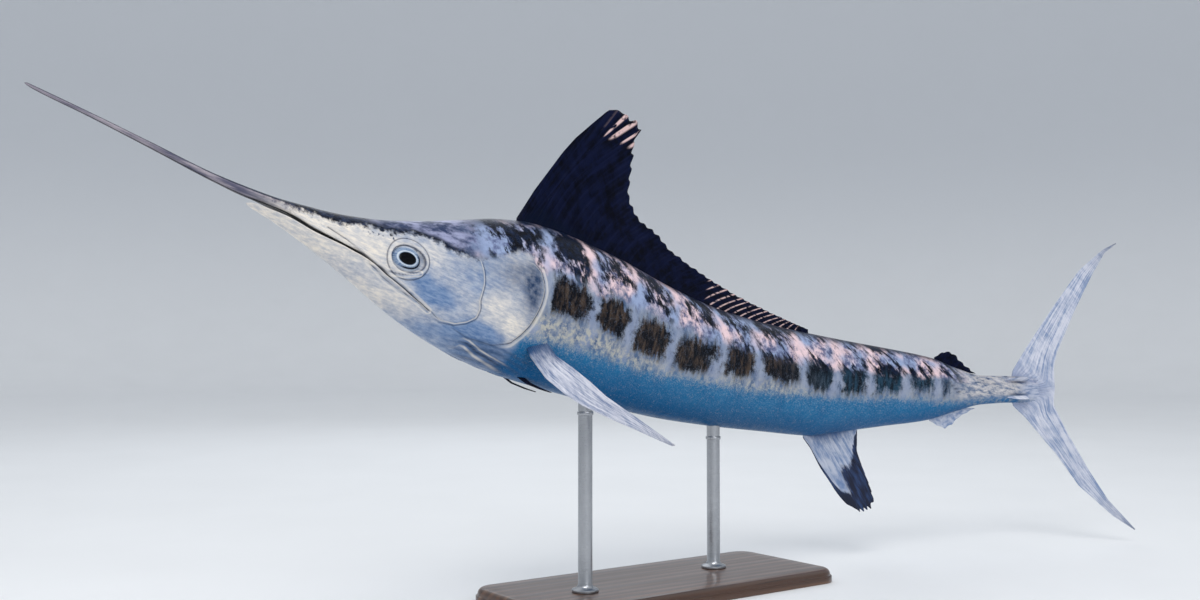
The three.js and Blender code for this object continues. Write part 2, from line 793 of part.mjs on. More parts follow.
// Paired fins: leading and trailing edges as share along, height, side.
const PECTORAL_LEAD = [
  [0.2575, -0.0445, 0.027],
  [0.2565, -0.0533, 0.0374],
  [0.2671, -0.0683, 0.0487],
  [0.2842, -0.0781, 0.0571],
  [0.3001, -0.0835, 0.0619],
  [0.3322, -0.0887, 0.0664],
  [0.3648, -0.0925, 0.0672],
  [0.4129, -0.0981, 0.063],
];
const PECTORAL_TRAIL = [
  [0.2735, -0.0345, 0.031],
  [0.2829, -0.0463, 0.0381],
  [0.3008, -0.0519, 0.0413],
  [0.319, -0.0593, 0.0449],
  [0.3374, -0.0683, 0.0486],
  [0.3672, -0.0784, 0.054],
  [0.3939, -0.088, 0.0588],
  [0.4175, -0.0968, 0.0627],
];
const PECTORAL_RAYS = 9;
const PECTORAL_ROWS = 8;
const PECTORAL_ROOT_HALF = 4.2;
const PECTORAL_TIP_HALF = 0.6;
const PELVIC_RAYS = 2;
const PELVIC_ROWS = 5;
const PELVIC_ROOT_HALF = 1.6;
const PELVIC_TIP_HALF = 0.5;
const PELVIC_LEAD = [
  [0.269, -0.0672, 0.009],
  [0.28, -0.0708, 0.0095],
  [0.296, -0.0722, 0.0098],
  [0.309, -0.0724, 0.0098],
];
const PELVIC_TRAIL = [
  [0.276, -0.0672, 0.0125],
  [0.284, -0.0698, 0.0125],
  [0.297, -0.071, 0.0115],
  [0.3105, -0.0718, 0.0102],
];

// The left pectoral droops; the right one is held level, turned up about its foot.
const PECTORAL_FOOT = { h: -0.039, w: 0.031 };
const PECTORAL_LIFT = { left: 0, right: deg(58) };

// A blade fin thins towards both edges, along its rays, and between them.
const BLADE_EDGE_LOSS = 0.45;
const BLADE_FALL = 0.7;
const BLADE_WEB = 0.66;

// A blade between a leading and a trailing edge line, on one side of the fish.
function bladeFin(lead, trail, side, rays, rows, rootHalf, tipHalf, lift = 0) {
  const place = (u, v) => {
    const a = pointOn(lead, v);
    const b = pointOn(trail, v);
    const [s, h, w] = a.map((value, k) => value + (b[k] - value) * u);
    const [dh, dw] = [h - PECTORAL_FOOT.h, w - PECTORAL_FOOT.w];
    const raised = PECTORAL_FOOT.h + dh * Math.cos(lift) + dw * Math.sin(lift);
    const out = PECTORAL_FOOT.w + dw * Math.cos(lift) - dh * Math.sin(lift);
    return new THREE.Vector3(s * LENGTH, side * out * LENGTH, raised * LENGTH);
  };
  const half = (u, v, ridge) => {
    const edge = 1 - BLADE_EDGE_LOSS * (2 * u - 1) ** 2;
    return THREE.MathUtils.lerp(rootHalf, tipHalf, v ** BLADE_FALL) * edge * (ridge ? 1 : BLADE_WEB);
  };
  return rayedPlate(rays, rows, place, half);
}
// Tail fin: each lobe is a blade between its leading and its trailing edge.
const CAUDAL_UPPER_LEAD = [
  [0.944, 0.009, 0],
  [0.9465, 0.0215, 0],
  [0.963, 0.0462, 0],
  [1.003, 0.0999, 0],
  [1.034, 0.1395, 0],
  [1.065, 0.1643, 0],
  [1.0815, 0.1722, 0],
];
const CAUDAL_UPPER_TRAIL = [
  [0.974, 0.0004, 0],
  [1.001, 0.0004, 0],
  [1.0, 0.0253, 0],
  [1.004, 0.0415, 0],
  [1.028, 0.0928, 0],
  [1.051, 0.1349, 0],
  [1.067, 0.1603, 0],
  [1.0825, 0.1714, 0],
];
const CAUDAL_LOWER_LEAD = [
  [0.944, -0.0105, 0],
  [0.9475, -0.0205, 0],
  [0.963, -0.0335, 0],
  [0.999, -0.0742, 0],
  [1.029, -0.114, 0],
  [1.071, -0.1498, 0],
  [1.099, -0.1673, 0],
];
const CAUDAL_LOWER_TRAIL = [
  [0.974, -0.0004, 0],
  [1.001, -0.0004, 0],
  [0.999, -0.0187, 0],
  [1.017, -0.0537, 0],
  [1.042, -0.0958, 0],
  [1.066, -0.1312, 0],
  [1.091, -0.1572, 0],
  [1.1, -0.1666, 0],
];
const CAUDAL_RAYS = 11;
const CAUDAL_ROWS = 12;
const CAUDAL_ROOT_HALF = 3.6;
const CAUDAL_TIP_HALF = 0.5;

// The thin cut between the two lobes.
const PARTING = [0.93, 1.12];
const caudalParting = posed(
  slab(
    [
      [PARTING[0], GAP / 2 / LENGTH],
      [PARTING[1], GAP / 2 / LENGTH],
      [PARTING[1], -GAP / 2 / LENGTH],
      [PARTING[0], -GAP / 2 / LENGTH],
    ],
    -FAR,
    FAR,
  ),
);
for (const [name, lead, trail] of [
  ["caudal_fin_upper", CAUDAL_UPPER_LEAD, CAUDAL_UPPER_TRAIL],
  ["caudal_fin_lower", CAUDAL_LOWER_LEAD, CAUDAL_LOWER_TRAIL],
]) {
  const fin = bladeFin(lead, trail, 1, CAUDAL_RAYS, CAUDAL_ROWS, CAUDAL_ROOT_HALF, CAUDAL_TIP_HALF);
  addPiece(name, posed(fin).subtract(bodySkin).subtract(caudalParting), "pale_fin");
}

// Keels: two low fins on each side of the peduncle, at a height, sloping up or down.
const KEEL_AT = 0.954;
const KEEL_SUNK = 0.82;
const KEEL_RADII = [25, 8.5, 2.2];
const KEEL_SLOPE = deg(18);
const KEEL_DETAIL = 14;
const KEELS = [
  ["upper", 0.0108, 1],
  ["lower", -0.009, -1],
];

for (const [label, side] of FISH_SIDES) {
  addPiece(
    `pectoral_fin_${label}`,
    posed(
      bladeFin(
        PECTORAL_LEAD,
        PECTORAL_TRAIL,
        side,
        PECTORAL_RAYS,
        PECTORAL_ROWS,
        PECTORAL_ROOT_HALF,
        PECTORAL_TIP_HALF,
        PECTORAL_LIFT[label],
      ),
    ).subtract(bodySkin),
    "pale_fin",
  );
  addPiece(
    `pelvic_fin_${label}`,
    posed(
      bladeFin(
        PELVIC_LEAD,
        PELVIC_TRAIL,
        side,
        PELVIC_RAYS,
        PELVIC_ROWS,
        PELVIC_ROOT_HALF,
        PELVIC_TIP_HALF,
      ),
    ).subtract(bodySkin),
    "dark_fin",
  );
  for (const [level, at, rise] of KEELS) {
    const middle = [KEEL_AT * LENGTH, side * halfWidth(KEEL_AT) * LENGTH * KEEL_SUNK, at * LENGTH];
    const keel = ellipsoid(middle, KEEL_RADII, 0, KEEL_DETAIL);
    const slope = new THREE.Matrix4()
      .makeTranslation(0, 0, middle[2])
      .multiply(new THREE.Matrix4().makeRotationX(-rise * side * KEEL_SLOPE))
      .multiply(new THREE.Matrix4().makeTranslation(0, 0, -middle[2]));
    const sloped = geometryOf(keel, (x, y, z) => new THREE.Vector3(x, y, z).applyMatrix4(slope));
    addPiece(
      `caudal_keel_${label}_${level}`,
      posed(solidOf(sloped)).subtract(bodySkin),
      "silver_skin",
    );
  }
}

// Stand: a flat base and two upright rods cut to the belly.
const BASE = { long: 580, wide: 240, tall: 22, corner: 36, bevel: 3 };
const CORNER_STEPS = 4;
const ROD_RADIUS = 11;
const ROD_BITE = 10;
const ROD_SIDES = 32;
const RODS = [
  ["stand_rod_front", 0.36],
  ["stand_rod_rear", 0.53],
];
{
  const [l, w] = [BASE.long / 2 - BASE.bevel, BASE.wide / 2 - BASE.bevel];
  const r = BASE.corner;
  const shape = new THREE.Shape();
  shape.moveTo(-l + r, -w);
  shape.lineTo(l - r, -w);
  shape.absarc(l - r, -w + r, r, -Math.PI / 2, 0);
  shape.lineTo(l, w - r);
  shape.absarc(l - r, w - r, r, 0, Math.PI / 2);
  shape.lineTo(-l + r, w);
  shape.absarc(-l + r, w - r, r, Math.PI / 2, Math.PI);
  shape.lineTo(-l, -w + r);
  shape.absarc(-l + r, -w + r, r, Math.PI, Math.PI * 1.5);
  const geometry = new THREE.ExtrudeGeometry(shape, {
    depth: BASE.tall - 2 * BASE.bevel,
    bevelThickness: BASE.bevel,
    bevelSize: BASE.bevel,
    bevelSegments: 1,
    curveSegments: CORNER_STEPS,
  });
  geometry.translate(0, 0, BASE.bevel);
  addPiece("stand_base", solidOf(geometry), "stand_wood");
}
for (const [name, s] of RODS) {
  const foot = posePoint(s * LENGTH, 0, belly(s) * LENGTH);
  const bottom = BASE.tall + GAP;
  const rod = new THREE.CylinderGeometry(ROD_RADIUS, ROD_RADIUS, foot.z + ROD_BITE - bottom, ROD_SIDES);
  rod.rotateX(Math.PI / 2);
  rod.translate(foot.x, foot.y, (foot.z + ROD_BITE + bottom) / 2);
  addPiece(name, solidOf(rod).subtract(bodySkin), "stand_steel");
}

export default root;
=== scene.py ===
"""The looks of a life-size museum model of a marlin, in metres, +Z up, head towards -X.

The fish is shaped along a straight backbone first: x from the tip of the lower jaw to the
fork of the tail, y to its right, z to its back. Backbone.pose() then bends it as it swims.
Lines, edges and marks on the fish are given as shares of LENGTH: share along, height.
"""

import logging
import math
from dataclasses import dataclass
from enum import Enum
from functools import reduce
from typing import Callable, Sequence

import bpy
import numpy as np
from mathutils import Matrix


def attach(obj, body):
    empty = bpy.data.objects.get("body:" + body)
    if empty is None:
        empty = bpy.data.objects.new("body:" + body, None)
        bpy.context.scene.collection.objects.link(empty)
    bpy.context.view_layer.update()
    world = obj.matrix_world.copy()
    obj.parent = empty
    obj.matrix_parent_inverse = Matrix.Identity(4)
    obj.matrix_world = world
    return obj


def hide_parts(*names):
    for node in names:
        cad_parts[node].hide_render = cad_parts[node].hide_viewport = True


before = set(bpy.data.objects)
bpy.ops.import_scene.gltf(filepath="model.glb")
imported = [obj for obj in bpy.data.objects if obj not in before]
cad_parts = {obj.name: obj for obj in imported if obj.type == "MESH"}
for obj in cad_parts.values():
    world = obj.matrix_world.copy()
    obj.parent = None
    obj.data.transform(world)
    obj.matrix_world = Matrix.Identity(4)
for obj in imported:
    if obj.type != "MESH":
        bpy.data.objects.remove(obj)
log = logging.getLogger("marlin")

LENGTH = 1.7
TINY = 1e-12
Array = np.ndarray
Line = Sequence[Sequence[float]]
Span = tuple[float, float]
Colour = tuple[int, int, int]


class Slot(Enum):
    """The record's material slots that the pieces use."""

    SILVER = "silver_skin"
    DARK_FIN = "dark_fin"
    PALE_FIN = "pale_fin"
    EYE = "eye"
    WOOD = "stand_wood"
    STEEL = "stand_steel"


class Side(Enum):
    """The two sides of the fish, as the sign of y."""

    LEFT = -1.0
    RIGHT = 1.0


def smoothstep(value: Array, low: float, high: float) -> Array:
    """Return 0 below low, 1 above high and a smooth rise between them."""
    t = np.clip((value - low) / (high - low), 0.0, 1.0)
    return t * t * (3.0 - 2.0 * t)


def bump(value: Array, centre: float, width: float) -> Array:
    """Return a bell of height 1 at centre that fades within about two widths."""
    return np.exp(-(((value - centre) / width) ** 2))


def smooth_curve(x: Sequence[float], y: Sequence[float]) -> Callable[[Array], Array]:
    """Make a smooth curve through points that doesn't overshoot between them.

    Each tangent is the harmonic mean of the slopes on its two sides, or 0 at a turn, and
    the curve between two points is the cubic with those places and tangents.

    Args:
        x: rising places.
        y: the value at each place.

    Returns:
        A function of an array of places, constant beyond both ends.
    """
    xs = np.asarray(x, float)
    ys = np.asarray(y, float)
    slope = np.diff(ys) / np.diff(xs)
    before, after = slope[:-1], slope[1:]
    total = np.where(before * after > 0, before + after, 1.0)
    inner = np.where(before * after > 0, 2 * before * after / total, 0.0)
    tangent = np.concatenate([slope[:1], inner, slope[-1:]])

    def curve(at: Array) -> Array:
        """Work out the curve.

        Args:
            at: places.

        Returns:
            The curve's value at each place.
        """
        v = np.clip(np.asarray(at, float), xs[0], xs[-1])
        i = np.clip(np.searchsorted(xs, v, side="right") - 1, 0, len(xs) - 2)
        h = xs[i + 1] - xs[i]
        t = (v - xs[i]) / h
        low = (2 * t**3 - 3 * t**2 + 1) * ys[i] + (t**3 - 2 * t**2 + t) * h * tangent[i]
        return low + (3 * t**2 - 2 * t**3) * ys[i + 1] + (t**3 - t**2) * h * tangent[i + 1]

    return curve


def height_curve(line: Line) -> Callable[[Array], Array]:
    """Return the smooth curve through the points of a line."""
    return smooth_curve(*zip(*line))


def along_line(line: Line, share: Array) -> Array:
    """Return the points at shares of a polyline's length.

    Args:
        line: its points.
        share: shares of 0 to 1.

    Returns:
        The points, on a new last axis.
    """
    points = np.asarray(line, float)
    lengths = np.linalg.norm(np.diff(points, axis=0), axis=1)
    places = np.concatenate([[0.0], np.cumsum(lengths)]) / lengths.sum()
    return np.stack([np.interp(share, places, points[:, k]) for k in range(points.shape[1])], -1)


def edge_distance(start: Array, end: Array, s: Array, h: Array) -> Array:
    """Return the distance to a straight edge, at its nearest point a + t * (b - a).

    Args:
        start: the edge's first point a.
        end: its last point b.
        s: shares along the fish.
        h: heights as shares.

    Returns:
        The distances, in shares.
    """
    (x0, y0), (x1, y1) = start, end
    edge_sq = (x1 - x0) ** 2 + (y1 - y0) ** 2
    t = np.clip(((s - x0) * (x1 - x0) + (h - y0) * (y1 - y0)) / edge_sq, 0, 1)
    return np.hypot(s - x0 - t * (x1 - x0), h - y0 - t * (y1 - y0))


def inside_distance(outline: Line, s: Array, h: Array) -> Array:
    """Return each point's distance to a closed outline, above 0 inside it.

    Args:
        outline: its corners.
        s: shares along the fish.
        h: heights as shares.

    Returns:
        The distances from the nearest edge, in metres.
    """
    corners = np.asarray(outline, float)
    nearest = np.full(np.shape(s), np.inf)
    inside = np.zeros(np.shape(s), bool)
    for start, end in zip(corners, np.roll(corners, -1, axis=0)):
        nearest = np.minimum(nearest, edge_distance(start, end, s, h))
        crosses = (start[1] > h) != (end[1] > h)
        rise = end[1] - start[1] if end[1] != start[1] else 1.0
        inside ^= crosses & (s < (end[0] - start[0]) * (h - start[1]) / rise + start[0])
    return np.where(inside, nearest, -nearest) * LENGTH


def line_away(line: Line, s: Array, h: Array) -> Array:
    """Return each point's distance to an open line.

    Args:
        line: its points.
        s: shares along the fish.
        h: heights as shares.

    Returns:
        The distances, in metres.
    """
    nearest = np.full(np.shape(s), np.inf)
    for start, end in zip(line[:-1], line[1:]):
        nearest = np.minimum(nearest, edge_distance(start, end, s, h))
    return nearest * LENGTH


@dataclass(frozen=True)
class Backbone:
    """The bend of the whole fish and its place over the stand.

    The head is straight. Behind the neck the body turns sideways with the square of the
    distance, and its upward slope fades evenly.
    """

    neck: float = 0.25
    head_yaw: float = math.radians(9.1)
    tail_turn: float = math.radians(64.4)
    head_pitch: float = math.radians(14.8)
    pitch_fade: float = math.radians(20.0)
    start: float = -0.2
    end: float = 1.15
    step: float = 0.0025
    base_under: float = 0.445
    tail_low: tuple[float, float] = (1.1, -0.1673)
    tail_clearance: float = 0.025

    def _walk(self) -> tuple[Array, Array, Array, Array]:
        """Walk along the backbone in equal steps.

        Returns:
            The shares walked, and the place, upward and rightward direction at each.
        """
        s = np.arange(self.start, self.end, self.step)
        behind = np.clip(s - self.neck, 0.0, 1.0 - self.neck)
        yaw = self.head_yaw - self.tail_turn * behind**2
        pitch = self.head_pitch - self.pitch_fade * behind
        flat = np.cos(pitch)
        along = np.stack([flat * np.cos(yaw), flat * np.sin(yaw), -np.sin(pitch)], -1)
        right = np.stack([-np.sin(yaw), np.cos(yaw), np.zeros_like(yaw)], -1)
        place = np.vstack([np.zeros((1, 3)), np.cumsum(along[:-1], axis=0) * self.step * LENGTH])
        return s, place, np.cross(along, right), right

    def _bend(self, points: Array) -> Array:
        """Carry straight points onto the bent backbone: place + y * right + z * up.

        Args:
            points: array of x, y, z on its last axis.

        Returns:
            The bent points, before the stand is set.
        """
        s, place, up, right = self._walk()
        at = points[..., 0] / LENGTH

        def follow(rows: Array) -> Array:
            """Return the walked rows at each point's share."""
            return np.stack([np.interp(at, s, rows[:, k]) for k in range(3)], -1)

        return follow(place) + follow(right) * points[..., 1:2] + follow(up) * points[..., 2:3]

    def pose(self, points: Array) -> Array:
        """Return straight points in their place in the row frame.

        Args:
            points: array of x, y, z of the straight fish in metres, on its last axis.

        Returns:
            The bent points, with the point over the base's middle above the origin and the
            tail's lowest tip just clear of the floor.
        """
        s_low, h_low = self.tail_low
        middle = self._bend(np.array([self.base_under * LENGTH, 0.0, 0.0]))
        low = self._bend(np.array([s_low * LENGTH, 0.0, h_low * LENGTH]))
        settle = np.array([-middle[0], -middle[1], self.tail_clearance - low[2]])
        return self._bend(points) + settle


class Column(Enum):
    """The columns of a station of the body, valued by their places in it."""

    BACK = 1
    BELLY = 2
    HALF_WIDTH = 3
    WIDEST = 4
    UPPER_POWER = 5
    LOWER_POWER = 6


@dataclass(frozen=True)
class Body:
    """The fish's cross-sections, as shares of the length.

    Each station holds: share along, back, belly, half width, height of the widest level,
    and how square the upper and the lower half of the section are.
    """

    stations: tuple[tuple[float, ...], ...] = (
        (-0.02, 0.0036, -0.0024, 0.0048, -0.0004, 1.0, 1.0),
        (0.0, 0.0041, -0.0078, 0.0062, -0.002, 1.0, 1.0),
        (0.03, 0.0056, -0.0142, 0.0098, -0.0035, 0.95, 1.0),
        (0.06, 0.0082, -0.0228, 0.0134, -0.006, 0.92, 1.05),
        (0.1, 0.0155, -0.0362, 0.0186, -0.009, 0.9, 1.08),
        (0.14, 0.0272, -0.0505, 0.0242, -0.01, 0.9, 1.05),
        (0.18, 0.0418, -0.0606, 0.0302, -0.01, 0.95, 1.0),
        (0.22, 0.0567, -0.0668, 0.0352, -0.008, 0.98, 0.95),
        (0.26, 0.066, -0.0692, 0.038, -0.006, 1.0, 0.92),
        (0.3, 0.0688, -0.0694, 0.0392, -0.004, 1.0, 0.92),
        (0.36, 0.0665, -0.0694, 0.0392, -0.004, 1.0, 0.94),
        (0.44, 0.0565, -0.0696, 0.0378, -0.005, 1.0, 0.96),
        (0.52, 0.0485, -0.0676, 0.0355, -0.006, 1.0, 0.98),
        (0.6, 0.0456, -0.065, 0.0322, -0.006, 1.0, 1.0),
        (0.66, 0.0442, -0.0642, 0.0294, -0.006, 1.0, 1.0),
        (0.7, 0.0428, -0.0582, 0.027, -0.0055, 1.0, 1.0),
        (0.77, 0.0392, -0.0472, 0.0222, -0.004, 1.0, 1.0),
        (0.83, 0.0332, -0.0384, 0.0174, -0.003, 1.0, 1.0),
        (0.87, 0.0222, -0.027, 0.0138, -0.002, 1.0, 1.0),
        (0.905, 0.0148, -0.0186, 0.0108, -0.001, 1.0, 1.0),
        (0.945, 0.0148, -0.0162, 0.0082, -0.0005, 1.0, 1.0),
        (1.0, 0.0162, -0.0172, 0.005, 0.0, 1.0, 1.0),
    )
    roundness: float = 0.96

    def column(self, which: Column, s: Array) -> Array:
        """Return one column of the stations at shares along, on a smooth curve."""
        rows = np.array(self.stations)
        return smooth_curve(rows[:, 0], rows[:, which.value])(s)

    def back(self, s: Array) -> Array:
        """Return the height of the back."""
        return self.column(Column.BACK, s)

    def belly(self, s: Array) -> Array:
        """Return the height of the belly."""
        return self.column(Column.BELLY, s)

    def half_width(self, s: Array) -> Array:
        """Return the half width at the widest level."""
        return self.column(Column.HALF_WIDTH, s)

    def _reach(self, s: Array, upper: Array) -> tuple[Array, Array]:
        """Measure the half of a section that lies on one side of its widest level.

        Args:
            s: share along, one for each point.
            upper: whether each point lies in the upper half.

        Returns:
            The height of the widest level, and how far the half reaches from it.
        """
        widest = self.column(Column.WIDEST, s)
        return widest, np.where(upper, self.back(s) - widest, widest - self.belly(s))

    def section(self, s: Array, angle: Array) -> Array:
        """Return points of the sections as shares.

        Height is widest + (back or belly reach) * cos(a)^roundness, and the side is half
        width * sin(a)^power, with a from 0 at the back to pi at the belly.

        Args:
            s: share along, one for each point.
            angle: angle round the section, one for each point.

        Returns:
            Array of s, side, height on the last axis, with the side above 0.
        """
        c, d = np.cos(angle), np.clip(np.sin(angle), 0.0, 1.0)
        widest, reach = self._reach(s, c > 0)
        powers = self.column(Column.UPPER_POWER, s), self.column(Column.LOWER_POWER, s)
        power = np.where(c > 0, *powers)
        height = widest + reach * np.sign(c) * np.abs(c) ** self.roundness
        return np.stack([s, self.half_width(s) * d**power, height], -1)

    def angle_at(self, s: Array, height: Array) -> Array:
        """Find where the surface has a height, which undoes section's height.

        Args:
            s: share along, one for each point.
            height: height, one for each point.

        Returns:
            The angles round the section.
        """
        widest, reach = self._reach(s, height > self.column(Column.WIDEST, s))
        c = np.clip((height - widest) / reach, -1.0, 1.0)
        return np.arccos(np.sign(c) * np.abs(c) ** (1.0 / self.roundness))


@dataclass(frozen=True)
class Mouth:
    """The slit between the upper and the lower jaw, from the jaw's tip to its corner.

    Each level holds: share along, height of the upper jaw's edge and of the lower jaw's.
    """

    levels: tuple[tuple[float, float, float], ...] = (
        (-0.03, -0.001, -0.0058),
        (0.0, -0.003, -0.006),
        (0.025, -0.004, -0.0066),
        (0.0525, -0.0088, -0.0111),
        (0.0875, -0.0142, -0.0156),
        (0.119, -0.0245, -0.0256),
        (0.157, -0.0389, -0.0397),
        (0.1685, -0.0445, -0.0447),
    )
    corner: float = 0.1685
    closing: float = 0.016

    def upper(self, s: Array) -> Array:
        """Return the height of the upper jaw's edge."""
        rows = np.array(self.levels)
        return smooth_curve(rows[:, 0], rows[:, 1])(s)

    def lower(self, s: Array) -> Array:
        """Return the height of the lower jaw's edge."""
        rows = np.array(self.levels)
        return smooth_curve(rows[:, 0], rows[:, 2])(s)


def soft_patches(patches: Line, s: Array, h: Array, base: float = 0.0) -> Array:
    """Add up oval patches, each amount * e^-(((s - s0) / long)^2 + ((h - h0) / tall)^2).

    Args:
        patches: rows of s0, h0, long, tall and amount.
        s: shares along the fish.
        h: heights as shares.
        base: the value without patches.

    Returns:
        The sum at each point.
    """
    total = np.full(np.shape(s), base)
    for s0, h0, long, tall, amount in patches:
        total += amount * bump(s, s0, long) * bump(h, h0, tall)
    return total


BACKBONE = Backbone()
BODY = Body()
MOUTH = Mouth()
EYE_AT = (0.1291, -0.0088)
EYE_OPENING = (0.0246, 0.0170)
EYE_LID = (0.0300, 0.0262)
NOSTRILS = ((0.1045, 0.007, 0.0026), (0.1125, 0.0056, 0.0021))
CROWN_LINE = (
    (-0.02, 0.0022), (0.0, 0.001), (0.04, -0.0008), (0.064, -0.0006), (0.0925, 0.0045),
    (0.1095, 0.0062), (0.122, 0.0089), (0.1345, 0.0119), (0.154, 0.0111), (0.1695, 0.008),
    (0.185, 0.0085), (0.205, 0.0165), (0.229, 0.0303),
)
LACHRYMAL_LINE = (
    (0.06, -0.0055), (0.076, -0.0097), (0.0935, -0.0157), (0.1065, -0.0205), (0.1155, -0.0226),
    (0.1275, -0.0217), (0.141, -0.017),
)
LIP_FOLD = (
    (0.098, -0.0201), (0.114, -0.0278), (0.131, -0.0334), (0.1475, -0.0372), (0.159, -0.0415),
)
ISTHMUS_LINE = (
    (0.1935, -0.0625), (0.198, -0.0558), (0.204, -0.0563), (0.217, -0.0602), (0.229, -0.0623),
    (0.2445, -0.0646), (0.258, -0.0668),
)
BLOTCH_CENTRES = (
    (0.286, 0.0051), (0.3375, 0.0013), (0.4, -0.0041), (0.456, -0.0067), (0.5225, -0.0015),
    (0.5825, 0.0), (0.649, -0.0006), (0.7015, 0.0001), (0.757, 0.0054),
)
SILVER_LINE = (
    (0.26, -0.034), (0.333, -0.0286), (0.3855, -0.0306), (0.467, -0.0252), (0.5555, -0.0235),
    (0.65, -0.018), (0.7265, -0.0145), (0.8, -0.0105), (0.86, -0.012), (1.0, -0.01),
)
CREAM_PATCHES = (
    (0.01, -0.01, 0.04, 0.012, 0.9), (0.07, -0.002, 0.04, 0.009, 0.5),
    (0.1, -0.012, 0.03, 0.008, 0.2), (0.06, -0.02, 0.05, 0.01, 0.25),
    (0.11, -0.04, 0.05, 0.008, 0.3), (0.15, 0.002, 0.012, 0.008, 0.15),
    (0.176, -0.004, 0.014, 0.012, -0.05), (0.16, -0.03, 0.016, 0.010, -0.45),
    (0.145, -0.022, 0.012, 0.006, -0.25), (0.212, -0.022, 0.014, 0.012, 0.3),
    (0.235, -0.035, 0.014, 0.01, 0.4), (0.2, -0.006, 0.014, 0.02, -0.15),
    (0.205, -0.046, 0.022, 0.007, -0.7), (0.235, -0.06, 0.035, 0.008, -0.6),
    (0.17, -0.055, 0.03, 0.008, -0.2),
)
# Oval patches of painted shade: on the upper rear of the gill cover, and under the head and throat.
SHADE_PATCHES = (
    (0.245, 0.004, 0.009, 0.020, 1.0), (0.228, 0.008, 0.020, 0.014, 0.6),
    (0.25, -0.012, 0.006, 0.016, 0.35), (0.235, -0.066, 0.03, 0.006, 0.45),
    (0.185, 0.004, 0.012, 0.010, 0.15), (0.222, -0.0565, 0.026, 0.005, 0.5),
)
OPERCLE = (
    (0.1735, 0.012), (0.2, 0.0185), (0.226, 0.0245), (0.2435, 0.0234), (0.2515, 0.0188),
    (0.256, 0.0105), (0.258, 0.0027), (0.2573, -0.007), (0.255, -0.0165), (0.2508, -0.0285),
    (0.2455, -0.0378), (0.239, -0.0463), (0.225, -0.0515), (0.2, -0.0515), (0.1735, -0.0452),
)
PREOPERCLE = (
    (0.12, 0.006), (0.15, 0.009), (0.185, 0.0135), (0.1915, 0.0095), (0.1955, 0.0015),
    (0.198, -0.008), (0.1975, -0.0225), (0.2, -0.029), (0.1995, -0.036), (0.1935, -0.0413),
    (0.1845, -0.0452), (0.172, -0.0458), (0.15, -0.038), (0.12, -0.034),
)


def eye_reach(s: Array, h: Array, radii: tuple[float, float]) -> Array:
    """Return the distance from the eye's middle as a ratio.

    Args:
        s: shares along the fish.
        h: heights as shares.
        radii: half length and half height of an oval, in metres.

    Returns:
        The ratios, 1 on the oval.
    """
    across = (s - EYE_AT[0]) * LENGTH / radii[0]
    tall = (h - EYE_AT[1]) * LENGTH / radii[1]
    return np.hypot(across, tall)


def new_object(name: str, points: Array, faces: Sequence[Sequence[int]]) -> bpy.types.Object:
    """Make a smooth-shaded mesh object in the scene.

    Args:
        name: the piece's name.
        points: array of vertices in metres.
        faces: the vertex numbers of each face.

    Returns:
        The new object, at the origin.
    """
    mesh = bpy.data.meshes.new(name)
    mesh.from_pydata(points.reshape(-1, 3).tolist(), [], faces)
    mesh.validate()
    mesh.polygons.foreach_set("use_smooth", np.ones(len(mesh.polygons), bool))
    mesh.update()
    piece = bpy.data.objects.new(name, mesh)
    bpy.context.scene.collection.objects.link(piece)
    return piece


def grid_faces(rows: int, columns: int) -> Array:
    """Work out the quads of a grid of vertices stored row by row, each row a closed ring.

    Args:
        rows: number of rows.
        columns: number of columns.

    Returns:
        Array of four vertex numbers for each quad.
    """
    r = np.arange(rows - 1)[:, None]
    c = np.arange(columns)[None, :]
    nxt = (c + 1) % columns
    corners = (r * columns + c, r * columns + nxt, (r + 1) * columns + nxt, (r + 1) * columns + c)
    return np.stack(np.broadcast_arrays(*corners), -1).reshape(-1, 4)


def store_fields(piece: bpy.types.Object, fields: dict[str, Array]) -> None:
    """Store values for each vertex as named attributes.

    Args:
        piece: the piece to store them on.
        fields: by name, a number or three numbers for each vertex.
    """
    for name, values in fields.items():
        vector = values.ndim == 3
        kind = "FLOAT_VECTOR" if vector else "FLOAT"
        attribute = piece.data.attributes.new(name, kind, "POINT")
        key = "vector" if vector else "value"
        attribute.data.foreach_set(key, values.astype(np.float32).ravel())


def settle_piece(piece: bpy.types.Object, slot: Slot, *nodes: str) -> None:
    """Let a piece ride on the object and stand for its CAD nodes.

    Args:
        piece: the piece.
        slot: its material slot; not used.
        nodes: the CAD nodes that it replaces.
    """
    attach(piece, "root")
    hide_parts(*nodes)
    log.info("made %s with %d faces", piece.name, len(piece.data.polygons))


